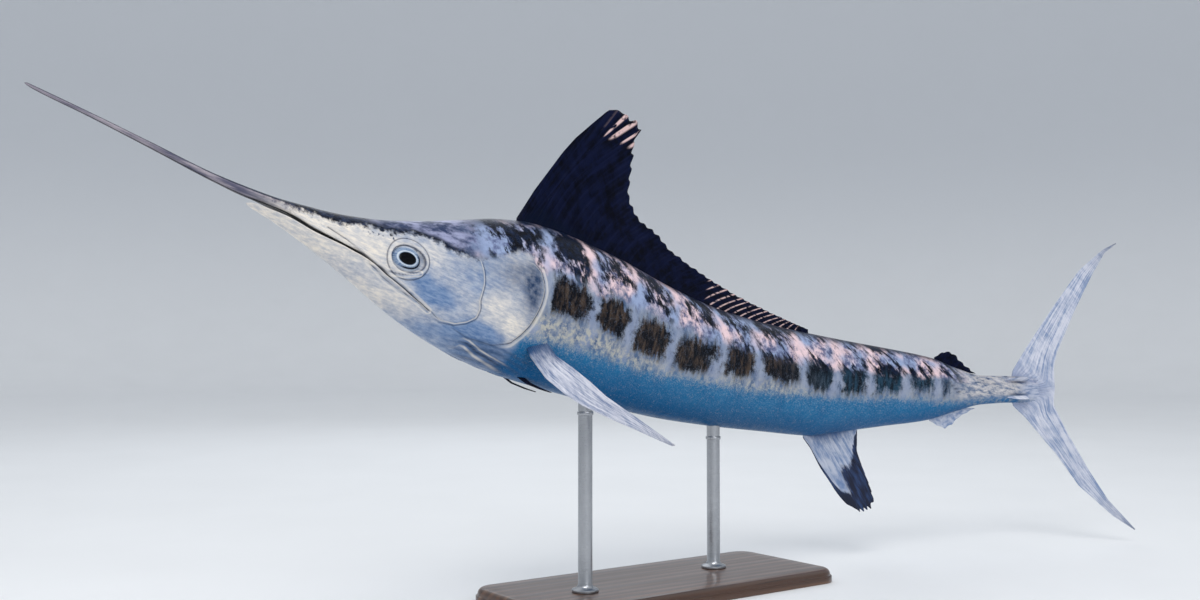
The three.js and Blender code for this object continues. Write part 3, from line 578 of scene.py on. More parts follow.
@dataclass(frozen=True)
class HeadLines:
    """Where the plates, folds and lids of the head lie.

    Each pair is the two shares, along or in height, between which a line comes or goes.
    """

    gill_rear: Span = (0.228, 0.243)
    gill_top: Span = (0.02, 0.0245)
    under_below: Span = (0.03, 0.045)
    under_from: Span = (0.178, 0.195)
    cheek_from: Span = (0.158, 0.185)
    cheek_top: Span = (0.005, 0.011)
    isthmus_from: Span = (0.194, 0.206)
    isthmus_to: Span = (0.236, 0.256)
    lip_from: Span = (0.02, 0.05)
    lip_to: Span = (0.155, 0.17)

    def fields(self, s: Array, h: Array) -> dict[str, Array]:
        """Work out the distances from the head's lines, and where each line shows.

        Args:
            s: shares along the fish.
            h: heights as shares.

        Returns:
            Named fields: distances in metres, reaches as ratios and masks of 0 to 1.
        """
        before = np.minimum(s, MOUTH.corner)
        lip = np.maximum(h - MOUTH.upper(before), MOUTH.lower(before) - h)
        rear = smoothstep(s, *self.gill_rear)
        under = smoothstep(-h, *self.under_below) * smoothstep(s, *self.under_from)
        isthmus_part = smoothstep(s, *self.isthmus_from) * (1 - smoothstep(s, *self.isthmus_to))
        return {
            "gill_away": inside_distance(OPERCLE, s, h),
            "gill_rear": rear * (1 - smoothstep(h, *self.gill_top)),
            "gill_under": (1 - rear) * under,
            "cheek_away": inside_distance(PREOPERCLE, s, h),
            "cheek_rear": smoothstep(s, *self.cheek_from) * (1 - smoothstep(h, *self.cheek_top)),
            "fold_away": np.minimum(line_away(LACHRYMAL_LINE, s, h), line_away(LIP_FOLD, s, h)),
            "isthmus_away": line_away(ISTHMUS_LINE, s, h),
            "isthmus_deep": isthmus_part,
            "eye_reach": eye_reach(s, h, EYE_OPENING),
            "lid_reach": eye_reach(s, h, EYE_LID),
            "lip_away": lip * LENGTH,
            "lip_part": smoothstep(s, *self.lip_from) * (1 - smoothstep(s, *self.lip_to)),
        }


@dataclass(frozen=True)
class Bell:
    """A bell beside a line: a ridge, or a groove where it is below 0.

    Its height is in metres or a mask's, and its place and width are in the distance's unit.
    """

    tall: float
    away: float
    width: float

    def at(self, distance: Array) -> Array:
        """Return the height at distances from the line."""
        return self.tall * bump(distance, self.away, self.width)


@dataclass(frozen=True)
class EyeRelief:
    """The pit of the eye and the round lid about it, by reaches from the eye's middle."""

    pit_deep: float = 0.0065
    pit_rim: Span = (0.9, 1.04)
    lid_tall: float = 0.0016
    lid_power: float = 0.7
    groove: Bell = Bell(-0.0008, 1.04, 0.05)
    apron_tall: float = 0.0004
    apron: Span = (0.8, 1.35)

    def out(self, opening: Array, lid: Array) -> Array:
        """Work out how far the skin stands out.

        The lid is sin(pi * p)^power, with p the share of the way from the opening's edge
        to the lid's.

        Args:
            opening: reach as a ratio of the opening's size.
            lid: reach as a ratio of the lid's size.

        Returns:
            Outward distances in metres.
        """
        pit = 1 - smoothstep(opening, *self.pit_rim)
        past, short = np.maximum(opening - 1, 0), np.maximum(1 - lid, 0)
        over = past / np.maximum(past + short, TINY)
        swell = np.sin(math.pi * np.clip(over, 0, 1)) ** self.lid_power
        apron = self.apron_tall * (1 - smoothstep(lid, *self.apron))
        return (self.lid_tall * swell + apron) * (1 - pit) - self.pit_deep * pit + self.groove.at(lid)


@dataclass(frozen=True)
class PlateRelief:
    """The step of the gill cover and of the cheek plate, and the grooves along them."""

    cover_tall: float = 0.0026
    cover_edge: Span = (-0.0015, 0.003)
    cover_from: Span = (0.205, 0.235)
    cover_top: Span = (0.019, 0.026)
    cheek_tall: float = 0.0016
    cheek_edge: Span = (-0.002, 0.0026)
    cheek_fade: Span = (0.006, 0.03)
    rear_groove: Bell = Bell(-0.0024, -0.0016, 0.0024)
    under_groove: Bell = Bell(-0.0010, -0.0014, 0.0026)
    cheek_groove: Bell = Bell(-0.0009, -0.003, 0.0026)

    def out(self, s: Array, h: Array, lines: dict[str, Array]) -> Array:
        """Work out how far the skin stands out.

        Args:
            s: shares along the fish.
            h: heights as shares.
            lines: the fields of HeadLines.

        Returns:
            Outward distances in metres.
        """
        cover, cheek = lines["gill_away"], lines["cheek_away"]
        plate = smoothstep(cover, *self.cover_edge) * smoothstep(s, *self.cover_from)
        out = self.cover_tall * plate * (1 - smoothstep(h, *self.cover_top))
        out += self.rear_groove.at(cover) * lines["gill_rear"]
        out += self.under_groove.at(cover) * lines["gill_under"]
        step = smoothstep(cheek, *self.cheek_edge) * (1 - smoothstep(cheek, *self.cheek_fade))
        return out + (self.cheek_tall * step + self.cheek_groove.at(cheek)) * lines["cheek_rear"]


@dataclass(frozen=True)
class FoldRelief:
    """The folds below the eye and above the isthmus, each a ridge beside a groove."""

    fold_ridge: Bell = Bell(0.0007, 0.0034, 0.0024)
    fold_groove: Bell = Bell(-0.0010, 0.0, 0.0022)
    isthmus_ridge: Bell = Bell(0.0009, 0.0052, 0.0026)
    isthmus_groove: Bell = Bell(-0.0020, 0.0, 0.0026)

    def out(self, lines: dict[str, Array]) -> Array:
        """Work out how far the skin stands out.

        Args:
            lines: the fields of HeadLines.

        Returns:
            Outward distances in metres.
        """
        fold, isthmus = lines["fold_away"], lines["isthmus_away"]
        valley = self.isthmus_ridge.at(isthmus) + self.isthmus_groove.at(isthmus)
        beside = self.fold_ridge.at(fold) + self.fold_groove.at(fold)
        return beside + valley * lines["isthmus_deep"]


@dataclass(frozen=True)
class ThroatRelief:
    """The throat's membrane, laid in folds along it like the teeth of a saw."""

    tall: float = 0.0014
    pitch: float = 0.0042
    level: float = -0.0525
    level_from: float = 0.235
    fall: float = 0.16
    start: Span = (0.18, 0.21)
    stop: Span = (0.262, 0.275)
    below: Span = (0.05, 0.0535)
    side_from: float = 0.004
    tooth_back: Span = (0.9, 1.0)

    def out(self, s: Array, h: Array, side: Array) -> tuple[Array, Array]:
        """Work out how far the skin stands out: tall * (saw - 0.5), where saw runs 0 to 1.

        Args:
            s: shares along the fish.
            h: heights as shares.
            side: distances from the middle plane, in metres.

        Returns:
            Outward distances in metres, and the mask of the folds' valleys, where shade is painted.
        """
        zone = smoothstep(s, *self.start) * (1 - smoothstep(s, *self.stop))
        zone = zone * smoothstep(-h, *self.below) * (side > self.side_from)
        line = self.level - self.fall * np.clip(s - self.level_from, 0, 1) - h
        saw = np.mod(line / self.pitch, 1.0)
        out = self.tall * zone * (saw - 0.5) * (1 - smoothstep(saw, *self.tooth_back))
        return out, zone * (0.5 + 0.5 * np.cos(2 * math.pi * saw))


@dataclass(frozen=True)
class NostrilRelief:
    """The two openings of the nose on a side, with a raised rim."""

    deep: float = 0.0034
    stretch: float = 1.5
    edge: Span = (0.55, 1.05)
    rim: Bell = Bell(0.0006, 1.25, 0.25)

    def out(self, s: Array, h: Array, near_side: Array) -> tuple[Array, Array]:
        """Work out how far the skin stands out.

        Args:
            s: shares along the fish.
            h: heights as shares.
            near_side: whether each point lies on the side of the head.

        Returns:
            Outward distances in metres, and the mask of the openings, where shade is painted.
        """
        out, mask = np.zeros(s.shape), np.zeros(s.shape)
        for at_s, at_h, radius in NOSTRILS:
            away = np.hypot((s - at_s) * LENGTH / self.stretch, (h - at_h) * LENGTH) / radius
            mask = np.maximum(mask, 1 - smoothstep(away, *self.edge))
            out += self.rim.at(away)
        mask = mask * near_side
        return out - self.deep * mask, mask


@dataclass(frozen=True)
class TailCreases:
    """The crease across the tail's stalk, darkened with painted shade, and the painted shadow lines
    above the keels.
    """

    span: Span = (0.847, 0.862)
    top: float = 0.0065
    fall: float = 0.0096
    width: float = 0.0011
    half_span: float = 0.7
    deep: float = 0.0008
    keels_at: float = 0.949
    keels_half: float = 0.026
    keel_shadow_levels: tuple[float, float] = (0.0078, -0.0060)

    def out(self, s: Array, h: Array, near_side: Array) -> tuple[Array, Array]:
        """Work out how far the skin stands out: -deep in the middle of the crease.

        Args:
            s: shares along the fish.
            h: heights as shares.
            near_side: whether each point lies on the side of the fish.

        Returns:
            Outward distances in metres, and the mask of the painted shade in the crease and of the
            painted shadow lines.
        """
        along = (s - self.span[0]) / (self.span[1] - self.span[0])
        crease = bump(h, self.top - self.fall * along, self.width)
        crease = crease * (np.abs(along - 0.5) < self.half_span) * near_side
        beside = np.clip(1 - ((s - self.keels_at) * LENGTH / self.keels_half) ** 2, 0, 1)
        shade = sum(bump(h, level, self.width) for level in self.keel_shadow_levels)
        return -self.deep * crease, crease + beside * shade * near_side


@dataclass(frozen=True)
class Markings:
    """The masks that place the colours of the head and the body.

    Each pair is the two shares of the length between which a mask rises. Those of
    behind_cover are metres from the gill cover's edge, and those of bill_ridge shares of
    the bill's height.
    """

    blotch_half: float = 0.012
    first_gap: float = 0.058
    last_gap: float = 0.05
    row_from: Span = (0.262, 0.270)
    row_thin: Span = (0.772, 0.79)
    row_thin_by: float = 0.35
    row_to: Span = (0.84, 0.87)
    stalk: Span = (0.845, 0.885)
    fan_root: Span = (0.943, 0.966)
    silver: Span = (-0.018, 0.012)
    forehead: Span = (0.085, 0.12)
    forehead_up: Span = (0.0035, 0.0075)
    nape: Span = (0.165, 0.205)
    nape_up: Span = (-0.004, 0.004)
    behind: Span = (0.238, 0.25)
    behind_cover: Span = (0.0, 0.003)
    cream_base: float = 0.5
    flecks: tuple[float, ...] = (0.108, 0.0045, 0.02, 0.006, 1.0)
    crown_flecks: Bell = Bell(0.4, 0.0, 0.004)
    bill: Span = (-0.01, 0.05)
    bill_ridge: Span = (0.55, 0.85)
    jaw_tip: float = -0.002
    jaw_over: float = 0.0001

    def _bars(self, s: Array) -> Array:
        """Number the places along the row of blotches, whole numbers on their middles.

        Args:
            s: shares along the fish.

        Returns:
            The numbers, which run on evenly before the first and after the last blotch.
        """
        middles = np.array(BLOTCH_CENTRES)[:, 0]
        bars = np.interp(s, middles, np.arange(len(middles)))
        bars += np.minimum((s - middles[0]) / self.first_gap, 0)
        return bars + np.maximum((s - middles[-1]) / self.last_gap, 0)

    def _zone(self, s: Array) -> Array:
        """Return how strong the row of blotches is at each share."""
        kept = 1 - self.row_thin_by * smoothstep(s, *self.row_thin) - smoothstep(s, *self.row_to)
        return smoothstep(s, *self.row_from) * kept

    def fields(self, s: Array, h: Array, cover: Array, bill_level: Array) -> dict[str, Array]:
        """Work out the masks.

        Args:
            s: shares along the fish.
            h: heights as shares.
            cover: distance inside the gill cover's outline, in metres.
            bill_level: height in the bill, 0 at its underside and 1 at its top.

        Returns:
            Named masks.
        """
        crown = h - height_curve(CROWN_LINE)(s)
        nape = smoothstep(s, *self.nape) * smoothstep(crown, *self.nape_up)
        behind = smoothstep(s, *self.behind) * smoothstep(-cover, *self.behind_cover)
        flecks = soft_patches((self.flecks,), s, h) + self.crown_flecks.at(crown)
        lip = MOUTH.lower(np.clip(s, 0, MOUTH.corner)) + self.jaw_over
        jaw = (s > self.jaw_tip) & (h < lip)
        return {
            "share": s,
            "row": (h - height_curve(BLOTCH_CENTRES)(s)) / self.blotch_half,
            "bars": self._bars(s),
            "zone": self._zone(s),
            "stalk": smoothstep(s, *self.stalk),
            "fan_root": smoothstep(s, *self.fan_root),
            "silver": smoothstep(h - height_curve(SILVER_LINE)(s), *self.silver),
            "crown": crown,
            "forehead": smoothstep(s, *self.forehead) * smoothstep(crown, *self.forehead_up),
            "behind_head": np.clip(np.maximum(nape, behind), 0, 1),
            "cream": soft_patches(CREAM_PATCHES, s, h, self.cream_base),
            "shade": np.clip(soft_patches(SHADE_PATCHES, s, h), 0, 1),
            "fleck": np.clip(flecks, 0, 1),
            "bill_part": (1 - smoothstep(s, *self.bill)) * ~jaw,
            "bill_ridge": smoothstep(bill_level, *self.bill_ridge),
        }


@dataclass(frozen=True)
class Bill:
    """The bill's elliptical sections. Each holds: share along, top, underside, half width."""

    sections: tuple[tuple[float, ...], ...] = (
        (-0.162, 0.01485, 0.01455, 0.0002),
        (-0.1605, 0.0154, 0.0139, 0.0008),
        (-0.155, 0.0151, 0.0128, 0.0013),
        (-0.119, 0.0125, 0.0096, 0.0021),
        (-0.076, 0.0088, 0.0048, 0.0029),
        (-0.024, 0.0044, -0.0014, 0.004),
        (0.0, 0.0041, -0.0032, 0.0052),
        (0.05, 0.0044, -0.0034, 0.0066),
    )
    seam: float = 0.8

    def curves(self, s: Array) -> tuple[Array, Array, Array]:
        """Work out the size of the sections.

        Args:
            s: shares along the fish.

        Returns:
            The top, the underside and the half width, as shares.
        """
        rows = np.array(self.sections)
        top, under, half = (smooth_curve(rows[:, 0], rows[:, k])(s) for k in (1, 2, 3))
        return top, under, half

    def points(self, s: Array, turn: Array) -> Array:
        """Return points of the sections: half * sin(a), middle + tall * cos(a).

        Args:
            s: shares along the fish.
            turn: the angle a as a share of pi, 0 at the top.

        Returns:
            Array of s, side, height on the last axis, as shares.
        """
        top, under, half = self.curves(s)
        middle, tall = (top + under) / 2, (top - under) / 2
        angle = math.pi * turn
        return np.stack([s, half * np.sin(angle), middle + tall * np.cos(angle)], -1)


BILL = Bill()


@dataclass
class FishSkin:
    """The whole skin of the fish as one grid of rings, from the bill's tip to the tail.

    A half ring runs from the back down to the upper lip, into the mouth, along its roof,
    down beside the midline, out along its floor, and from the lower lip to the belly.
    row_stops holds shares along, and the number of rings up to the next one.
    """

    upper_columns: int = 58
    roof_columns: int = 4
    septum_columns: int = 2
    lower_columns: int = 22
    tip_rows: int = 14
    tip_at: float = -0.162
    tip_long: float = 0.012
    tip_power: float = 1.8
    row_stops: tuple[tuple[float, int], ...] = (
        (-0.15, 32), (0.0, 30), (0.035, 48), (0.1, 100), (0.16, 106), (0.27, 128), (0.92, 30),
        (0.985, 1),
    )
    rear_upper_angle: float = 0.575 * math.pi
    rear_lower_angle: float = 0.70 * math.pi
    spread_end: float = 0.262
    jaw_row: float = 0.035
    jaw_even: float = 0.1
    jaw_round: float = 0.006
    jaw_shade: Span = (0.001, 0.006)
    septum_half: float = 0.0005
    open_until: float = 0.085
    tail_from: float = 0.952
    tail_narrow: float = 0.98
    tail_power: float = 1.2
    tail_flatten: float = 0.12
    bill_blend: Span = (0.0, 0.05)
    lip_height: float = 0.0058
    lip_top: float = 0.35
    lip_swell: float = 0.0013
    lip_from: Span = (0.0, 0.03)
    lip_to: Span = (0.163, 0.176)
    side_from: float = 0.006
    relief_from: Span = (-0.02, 0.02)
    relief_inside: Span = (0.0, 0.1)
    skin_only: float = 0.01
    thinnest_bill: float = 1e-6
    nodes: tuple[str, ...] = (
        "head", "bill", "lower_jaw", "gill_cover_left", "gill_cover_right", "gill_membrane_left",
        "gill_membrane_right", "torso_front", "torso_rear", "tail_stock", "caudal_peduncle",
    )

    @property
    def jaw_start(self) -> int:
        """Return the column of the lower lip."""
        return self.upper_columns + 2 * self.roof_columns + self.septum_columns

    def row_places(self) -> Array:
        """Space the rings, closest at the head.

        Returns:
            The shares along at which they stand.
        """
        tip = self.tip_at + self.tip_long * np.linspace(0.0, 1.0, self.tip_rows) ** self.tip_power
        pairs = zip(self.row_stops[:-1], self.row_stops[1:])
        parts = [np.linspace(a, b, count, endpoint=False) for (a, count), (b, _) in pairs]
        return np.concatenate([tip[:-1], *parts, self.row_stops[-1][:1]])

    def _lip_angle(self, edge: Callable[[Array], Array], rear: float, s: Array, jaw: Array) -> Array:
        """Find a lip's edge on the sections: at its height, and behind the corner at rear.

        Args:
            edge: the height of the lip.
            rear: the angle that it nears behind the corner.
            s: shares along the fish.
            jaw: the shares of the sections on which the lip lies.

        Returns:
            The angles.
        """
        lip = BODY.angle_at(np.minimum(jaw, MOUTH.corner), edge(np.minimum(jaw, MOUTH.corner)))
        return lip + (rear - lip) * smoothstep(s, MOUTH.corner, self.spread_end)

    def _inward(self, lip: Array, s: Array, t: Array, septum: Array, gape: Array) -> Array:
        """Lead points from a lip to the septum: y + ((1 - t) * y + t * septum - y) * gape.

        Args:
            lip: the lip's point of each ring.
            s: the share along of each ring.
            t: the shares of the way to the septum.
            septum: the septum's half width in each ring.
            gape: 1 where the mouth is open, 0 where it is closed.

        Returns:
            The points as shares.
        """
        y = lip[:, None, 1]
        side = y + (y * (1 - t) + septum[:, None] * t - y) * gape[:, None]
        along = np.broadcast_to(s[:, None], side.shape)
        return np.stack([along, side, lip[:, None, 2] + 0 * t], -1)

    def _upper_part(self, rows: Array, edge: Array, septum: Array, gape: Array) -> Array:
        """Work out the points from the back to the middle of the mouth's roof.

        They are section(s, a) of the head, and the bill's in front of it.

        Args:
            rows: shares along the fish.
            edge: the upper lip's angle at each.
            septum: the septum's half width at each.
            gape: 1 where the mouth is open.

        Returns:
            The points as shares.
        """
        blend = smoothstep(rows[:, None], *self.bill_blend)[..., None]
        t = np.linspace(0.0, 1.0, self.upper_columns + 1)[None, :]
        s = rows[:, None] + 0 * t
        bill = BILL.points(s, BILL.seam * t + 0 * s)
        side = bill + (BODY.section(s, edge[:, None] * t) - bill) * blend
        t = (np.arange(self.roof_columns) + 1.0)[None, :] / self.roof_columns
        s = rows[:, None] + 0 * t
        under = BILL.points(s, BILL.seam + (1 - BILL.seam) * t + 0 * s)
        roof = under + (self._inward(side[:, -1], rows, t, septum, gape) - under) * blend
        return np.concatenate([side, roof], axis=1)

    def _jaw_part(self, s: Array, edge: Array, septum: Array, gape: Array) -> Array:
        """Work out the points from the middle of the mouth's floor to the belly.

        Args:
            s: the jaw's own shares along the fish.
            edge: the lower lip's angle at each.
            septum: the septum's half width at each.
            gape: 1 where the mouth is open.

        Returns:
            The points as shares.
        """
        t = np.linspace(0.0, 1.0, self.lower_columns + 1)[None, :]
        jaw = BODY.section(s[:, None] + 0 * t, edge[:, None] + (math.pi - edge[:, None]) * t)
        t = 1 - (np.arange(self.roof_columns) / self.roof_columns)[None, :]
        floor = self._inward(jaw[:, 0], s, t, septum, gape)
        return np.concatenate([floor, jaw], axis=1)

    def _close_mouth(self, ring: Array, rows: Array, edges: tuple[Array, Array], gape: Array) -> None:
        """Lead the columns of the mouth back onto the section where it is closed.

        Args:
            ring: the half rings, which are changed.
            rows: shares along the fish.
            edges: the angles of the upper and the lower lip.
            gape: 1 where the mouth is open.
        """
        upper, lower = (edge[:, None] for edge in edges)
        slit = ring[:, self.upper_columns : self.jaw_start + 1]
        flat = upper + (lower - upper) * np.linspace(0, 1, slit.shape[1])
        closed = BODY.section(rows[:, None] + 0 * flat, flat)
        slit += (closed - slit) * (1 - gape)[:, None, None]

    def _jaw_share(self, rows: Array) -> Array:
        """Work out the jaw's own shares, s - j * (1 - (s - j) / (e - j)).

        So its tip at 0 stands in the ring at j, and both run level from e on.

        Args:
            rows: shares along the fish.

        Returns:
            The shares of the jaw's sections.
        """
        share = np.clip((rows - self.jaw_row) / (self.jaw_even - self.jaw_row), 0.0, 1.0)
        return np.where(rows < self.jaw_even, rows - self.jaw_row * (1 - share), rows)

    def half_ring(self, rows: Array) -> tuple[Array, Array]:
        """Work out one half of every ring, on the side of y above 0.

        The jaw's tip is rounded by core + (point - core) * (1 - (1 - s / round)^2)^0.5,
        and the tail thins out towards its end by 1 - narrow * t^power.

        Args:
            rows: shares along the fish.

        Returns:
            Points in metres with shape rows x columns x 3, and for each point the share
            of its depth inside the mouth.
        """
        u, r, m, start = self.upper_columns, self.roof_columns, self.septum_columns, self.jaw_start
        gape = 1.0 - smoothstep(rows, MOUTH.corner - MOUTH.closing, MOUTH.corner)
        septum = self.septum_half / LENGTH * (rows > self.open_until)
        jaw_s = self._jaw_share(rows)
        upper_edge = self._lip_angle(MOUTH.upper, self.rear_upper_angle, rows, rows)
        lower_edge = self._lip_angle(MOUTH.lower, self.rear_lower_angle, rows, jaw_s)
        upper = self._upper_part(rows, upper_edge, septum, gape)
        lower = self._jaw_part(jaw_s, lower_edge, septum, gape)
        core = np.stack([jaw_s, 0 * jaw_s, (lower[:, r, 2] + lower[:, -1, 2]) / 2], -1)[:, None]
        wall = np.linspace(0, 1, m + 1)[None, 1:-1, None]
        wall = upper[:, -1:] + (lower[:, :1] - upper[:, -1:]) * wall
        ring = np.concatenate([upper, wall, lower], axis=1)
        self._close_mouth(ring, rows, (upper_edge, lower_edge), gape)

        front = np.clip(jaw_s / self.jaw_round, 0.0, 1.0)
        swell = np.sqrt(1 - (1 - front) ** 2)[:, None, None]
        ring[:, start - r :] = core + (ring[:, start - r :] - core) * swell
        before = rows < self.jaw_row
        ring[before, u + r :] = ring[before, u + r, None]

        end = np.clip((rows - self.tail_from) / (rows[-1] - self.tail_from), 0, 1)
        middle = (ring[:, 0, 2] + ring[:, -1, 2])[:, None] / 2
        ring[..., 1] *= (1 - self.tail_narrow * end**self.tail_power)[:, None]
        flatten = (1 - self.tail_flatten * end**2)[:, None]
        ring[..., 2] = middle + (ring[..., 2] - middle) * flatten

        inside = np.zeros(ring.shape[:2])
        way = np.linspace(0, 1, r + 1)
        depth = np.concatenate([way, np.ones(m - 1), way[::-1]])
        inside[:, u : start + 1] = depth[None, :] * gape[:, None]
        inside[:, u + r :] *= smoothstep(jaw_s, *self.jaw_shade)[:, None]
        return ring * LENGTH, inside

    def _lips(self, ring: Array, inside: Array) -> Array:
        """Swell the skin along both lips.

        Args:
            ring: points of the half rings in metres.
            inside: the share of each point's depth inside the mouth.

        Returns:
            Outward distances in metres.
        """
        u, start = self.upper_columns, self.jaw_start
        s = ring[..., 0] / LENGTH
        swell = np.zeros(s.shape)
        for columns, edge in ((slice(0, u + 1), u), (slice(start, None), start)):
            away = np.linalg.norm((ring[:, columns] - ring[:, edge, None])[..., 1:], axis=-1)
            swell[:, columns] = 1 - smoothstep(away, self.lip_top * self.lip_height, self.lip_height)
        fade = smoothstep(s, *self.lip_from) * (1 - smoothstep(s, *self.lip_to))
        return self.lip_swell * swell * fade * (inside < self.skin_only)

    def _normals(self, ring: Array) -> Array:
        """Work out the outward direction at each point, upright on the midline.

        Args:
            ring: points of the half rings in metres.

        Returns:
            Array of unit vectors.
        """
        normal = np.cross(np.gradient(ring, axis=1), np.gradient(ring, axis=0))
        normal = normal / np.maximum(np.linalg.norm(normal, axis=-1, keepdims=True), TINY)
        level = np.broadcast_to(ring[..., 2].mean(1)[:, None], ring.shape[:2])
        centre = np.stack([ring[..., 0], np.zeros(ring.shape[:2]), level], -1)
        inward = ((ring - centre) * normal).sum(-1, keepdims=True) < 0
        normal = np.where(inward, -normal, normal)
        normal[:, 0] = (0.0, 0.0, 1.0)
        normal[:, -1] = (0.0, 0.0, -1.0)
        return normal

    def _relief(self, ring: Array) -> tuple[Array, dict[str, Array]]:
        """Work out how far the skin stands out from the plain section.

        Args:
            ring: points of the half rings in metres.

        Returns:
            Outward distances in metres, and the named fields for the material.
        """
        s, h = ring[..., 0] / LENGTH, ring[..., 2] / LENGTH
        near_side = ring[..., 1] > self.side_from
        lines = HeadLines().fields(s, h)
        throat, fold = ThroatRelief().out(s, h, ring[..., 1])
        nose, nostril_shade = NostrilRelief().out(s, h, near_side)
        tail, crease = TailCreases().out(s, h, near_side)
        out = EyeRelief().out(lines["eye_reach"], lines["lid_reach"])
        out += PlateRelief().out(s, h, lines) + throat + nose
        out += FoldRelief().out(lines) * near_side + tail
        top, under, _ = BILL.curves(s)
        bill_level = (h - under) / np.maximum(top - under, self.thinnest_bill)
        marks = Markings().fields(s, h, lines["gill_away"], bill_level)
        return out, {"nostril_shade": nostril_shade, "fold": fold, "crease": crease, **lines, **marks}

    def _faces(self, rows: Array, columns: int) -> Array:
        """List the faces, leaving out the jaw before its tip and the open mouth's septum.

        Args:
            rows: shares along the fish.
            columns: number of points in a whole ring.

        Returns:
            Array of four vertex numbers for each face.
        """
        faces = grid_faces(len(rows), columns)
        row_of, column_of = np.divmod(faces[:, 0], columns)
        folded = np.minimum(column_of, columns - 1 - column_of)
        septum = self.upper_columns + self.roof_columns
        before_jaw = (rows[row_of] < self.jaw_row) & (folded >= septum)
        in_septum = (folded >= septum) & (folded < septum + self.septum_columns)
        open_mouth = in_septum & (rows[row_of] < self.open_until)
        return faces[~(before_jaw | open_mouth)][:, ::-1]

    def build(self) -> bpy.types.Object:
        """Make the skin: both sides are the half ring + normal * relief, mirrored.

        Returns:
            The skin, which stands for the fish's flesh.
        """
        rows = self.row_places()
        ring, inside = self.half_ring(rows)
        out, fields = self._relief(ring)
        outside = 1 - smoothstep(inside, *self.relief_inside)
        out = out * outside * smoothstep(rows, *self.relief_from)[:, None]
        half = ring + self._normals(ring) * (out + self._lips(ring, inside))[..., None]
        left = half * np.array([1.0, Side.LEFT.value, 1.0])
        points = np.concatenate([left, half[:, -2:0:-1]], axis=1)
        faces = self._faces(rows, points.shape[1])
        skin = new_object("skin", BACKBONE.pose(points), faces.tolist())
        s = points[..., 0] / LENGTH
        rise = (points[..., 2] / LENGTH - BODY.belly(s)) / (BODY.back(s) - BODY.belly(s))
        store_fields(skin, {"place": points, "rise": rise})
        for name, values in {"mouth": inside, **fields}.items():
            store_fields(skin, {name: np.concatenate([values, values[:, -2:0:-1]], axis=1)})
        settle_piece(skin, Slot.SILVER, *self.nodes)
        return skin


@dataclass(frozen=True)
class RayProfile:
    """How a fin's thickness follows its rays, in metres."""

    root_half: float
    tip_half: float
    web: float = 0.5
    ray_width: float = 0.24
    part_at: float = 0.25
    fork_from: float = 0.55
    fall: float = 0.6

    def half(self, fan: Array, v: Array) -> Array:
        """Work out half the thickness.

        It is (root + (tip - root) * v^fall) * (web + (1 - web) * ridge), where ridge is a
        bell over each ray that parts into two bells towards the tip.

        Args:
            fan: place across the fin, whole numbers on the rays.
            v: share along the ray.

        Returns:
            Half the thickness, in metres.
        """
        whole = np.abs(fan - np.round(fan))
        fork = smoothstep(v, self.fork_from, 1.0)
        single = bump(whole, 0.0, self.ray_width)
        double = bump(whole, self.part_at, self.ray_width / 2)
        ridge = single + (double - single) * fork
        body = self.root_half + (self.tip_half - self.root_half) * v**self.fall
        return body * (self.web + (1 - self.web) * ridge)


class FinSkin(Enum):
    """The skins of the fins, valued by the names of their materials."""

    DARK = "dark_fin_skin"
    PALE = "pale_fin_skin"
    SIDE = "side_fin_skin"
    TAIL = "tail_fin_skin"

    @property
    def slot(self) -> Slot:
        """Return the record's slot for this skin."""
        return Slot.DARK_FIN if self is FinSkin.DARK else Slot.PALE_FIN


@dataclass
class Fin:
    """A fin as a plate with rays, closed round its whole edge."""

    name: str
    nodes: tuple[str, ...]
    skin: FinSkin
    rays: int
    profile: RayProfile
    columns_per_ray: int = 8
    rows: int = 44
    edge_power: int = 16

    def middle(self, u: Array, v: Array) -> Array:
        """Return the middle surface's straight points, in metres."""
        raise NotImplementedError

    def marks(self, points: Array, u: Array, v: Array) -> dict[str, Array]:
        """Work out the masks of the markings. A plain fin has none.

        Args:
            points: the straight points, in metres.
            u: share across the fin.
            v: share along the ray.

        Returns:
            The masks of pale rays and of a dusky patch.
        """
        nothing = np.zeros(u.shape)
        return {"pale_ray": nothing, "dusk": nothing}

    def off_web(self, fan: Array) -> Array:
        """Return 0 on the rays and 1 half way between them, as sin^2."""
        return np.sin(math.pi * np.abs(fan - np.round(fan))) ** 2

    def build(self) -> bpy.types.Object:
        """Make the fin.

        Both faces are middle(u, v) +- half(u, v) * normal. They meet at the first and
        last ray, and in one extra row at the root and one at the tip.

        Returns:
            The posed fin.
        """
        columns = self.rays * self.columns_per_ray + 1
        u, v = np.meshgrid(np.linspace(0, 1, columns), np.linspace(0, 1, self.rows))
        middle = self.middle(u, v)
        fan = u * self.rays
        normal = np.cross(np.gradient(middle, axis=0), np.gradient(middle, axis=1))
        normal /= np.maximum(np.linalg.norm(normal, axis=-1, keepdims=True), TINY)
        closing = np.sqrt(np.clip(1 - (2 * u - 1) ** self.edge_power, 0, 1))
        offset = normal * (self.profile.half(fan, v) * closing)[..., None]

        def wrap(near: Array, far: Array) -> Array:
            """Return both faces' values as one ring for each row."""
            return np.concatenate([near, far[:, -2:0:-1]], axis=1)

        def cap(ring: Array) -> Array:
            """Return the rows with the first and the last of them doubled."""
            return np.concatenate([ring[:1], ring, ring[-1:]])

        flat, ring = wrap(middle, middle), wrap(middle + offset, middle - offset)
        points = np.concatenate([flat[:1], ring, flat[-1:]])
        fans, reach = cap(wrap(fan, fan)), cap(wrap(v, v))
        faces = grid_faces(points.shape[0], points.shape[1])
        piece = new_object(self.name, BACKBONE.pose(points), faces.tolist())
        store_fields(piece, {"place": points, "fan": fans, "reach": reach})
        store_fields(piece, self.marks(points, fans / self.rays, reach))
        settle_piece(piece, self.skin.slot, *self.nodes)
        return piece


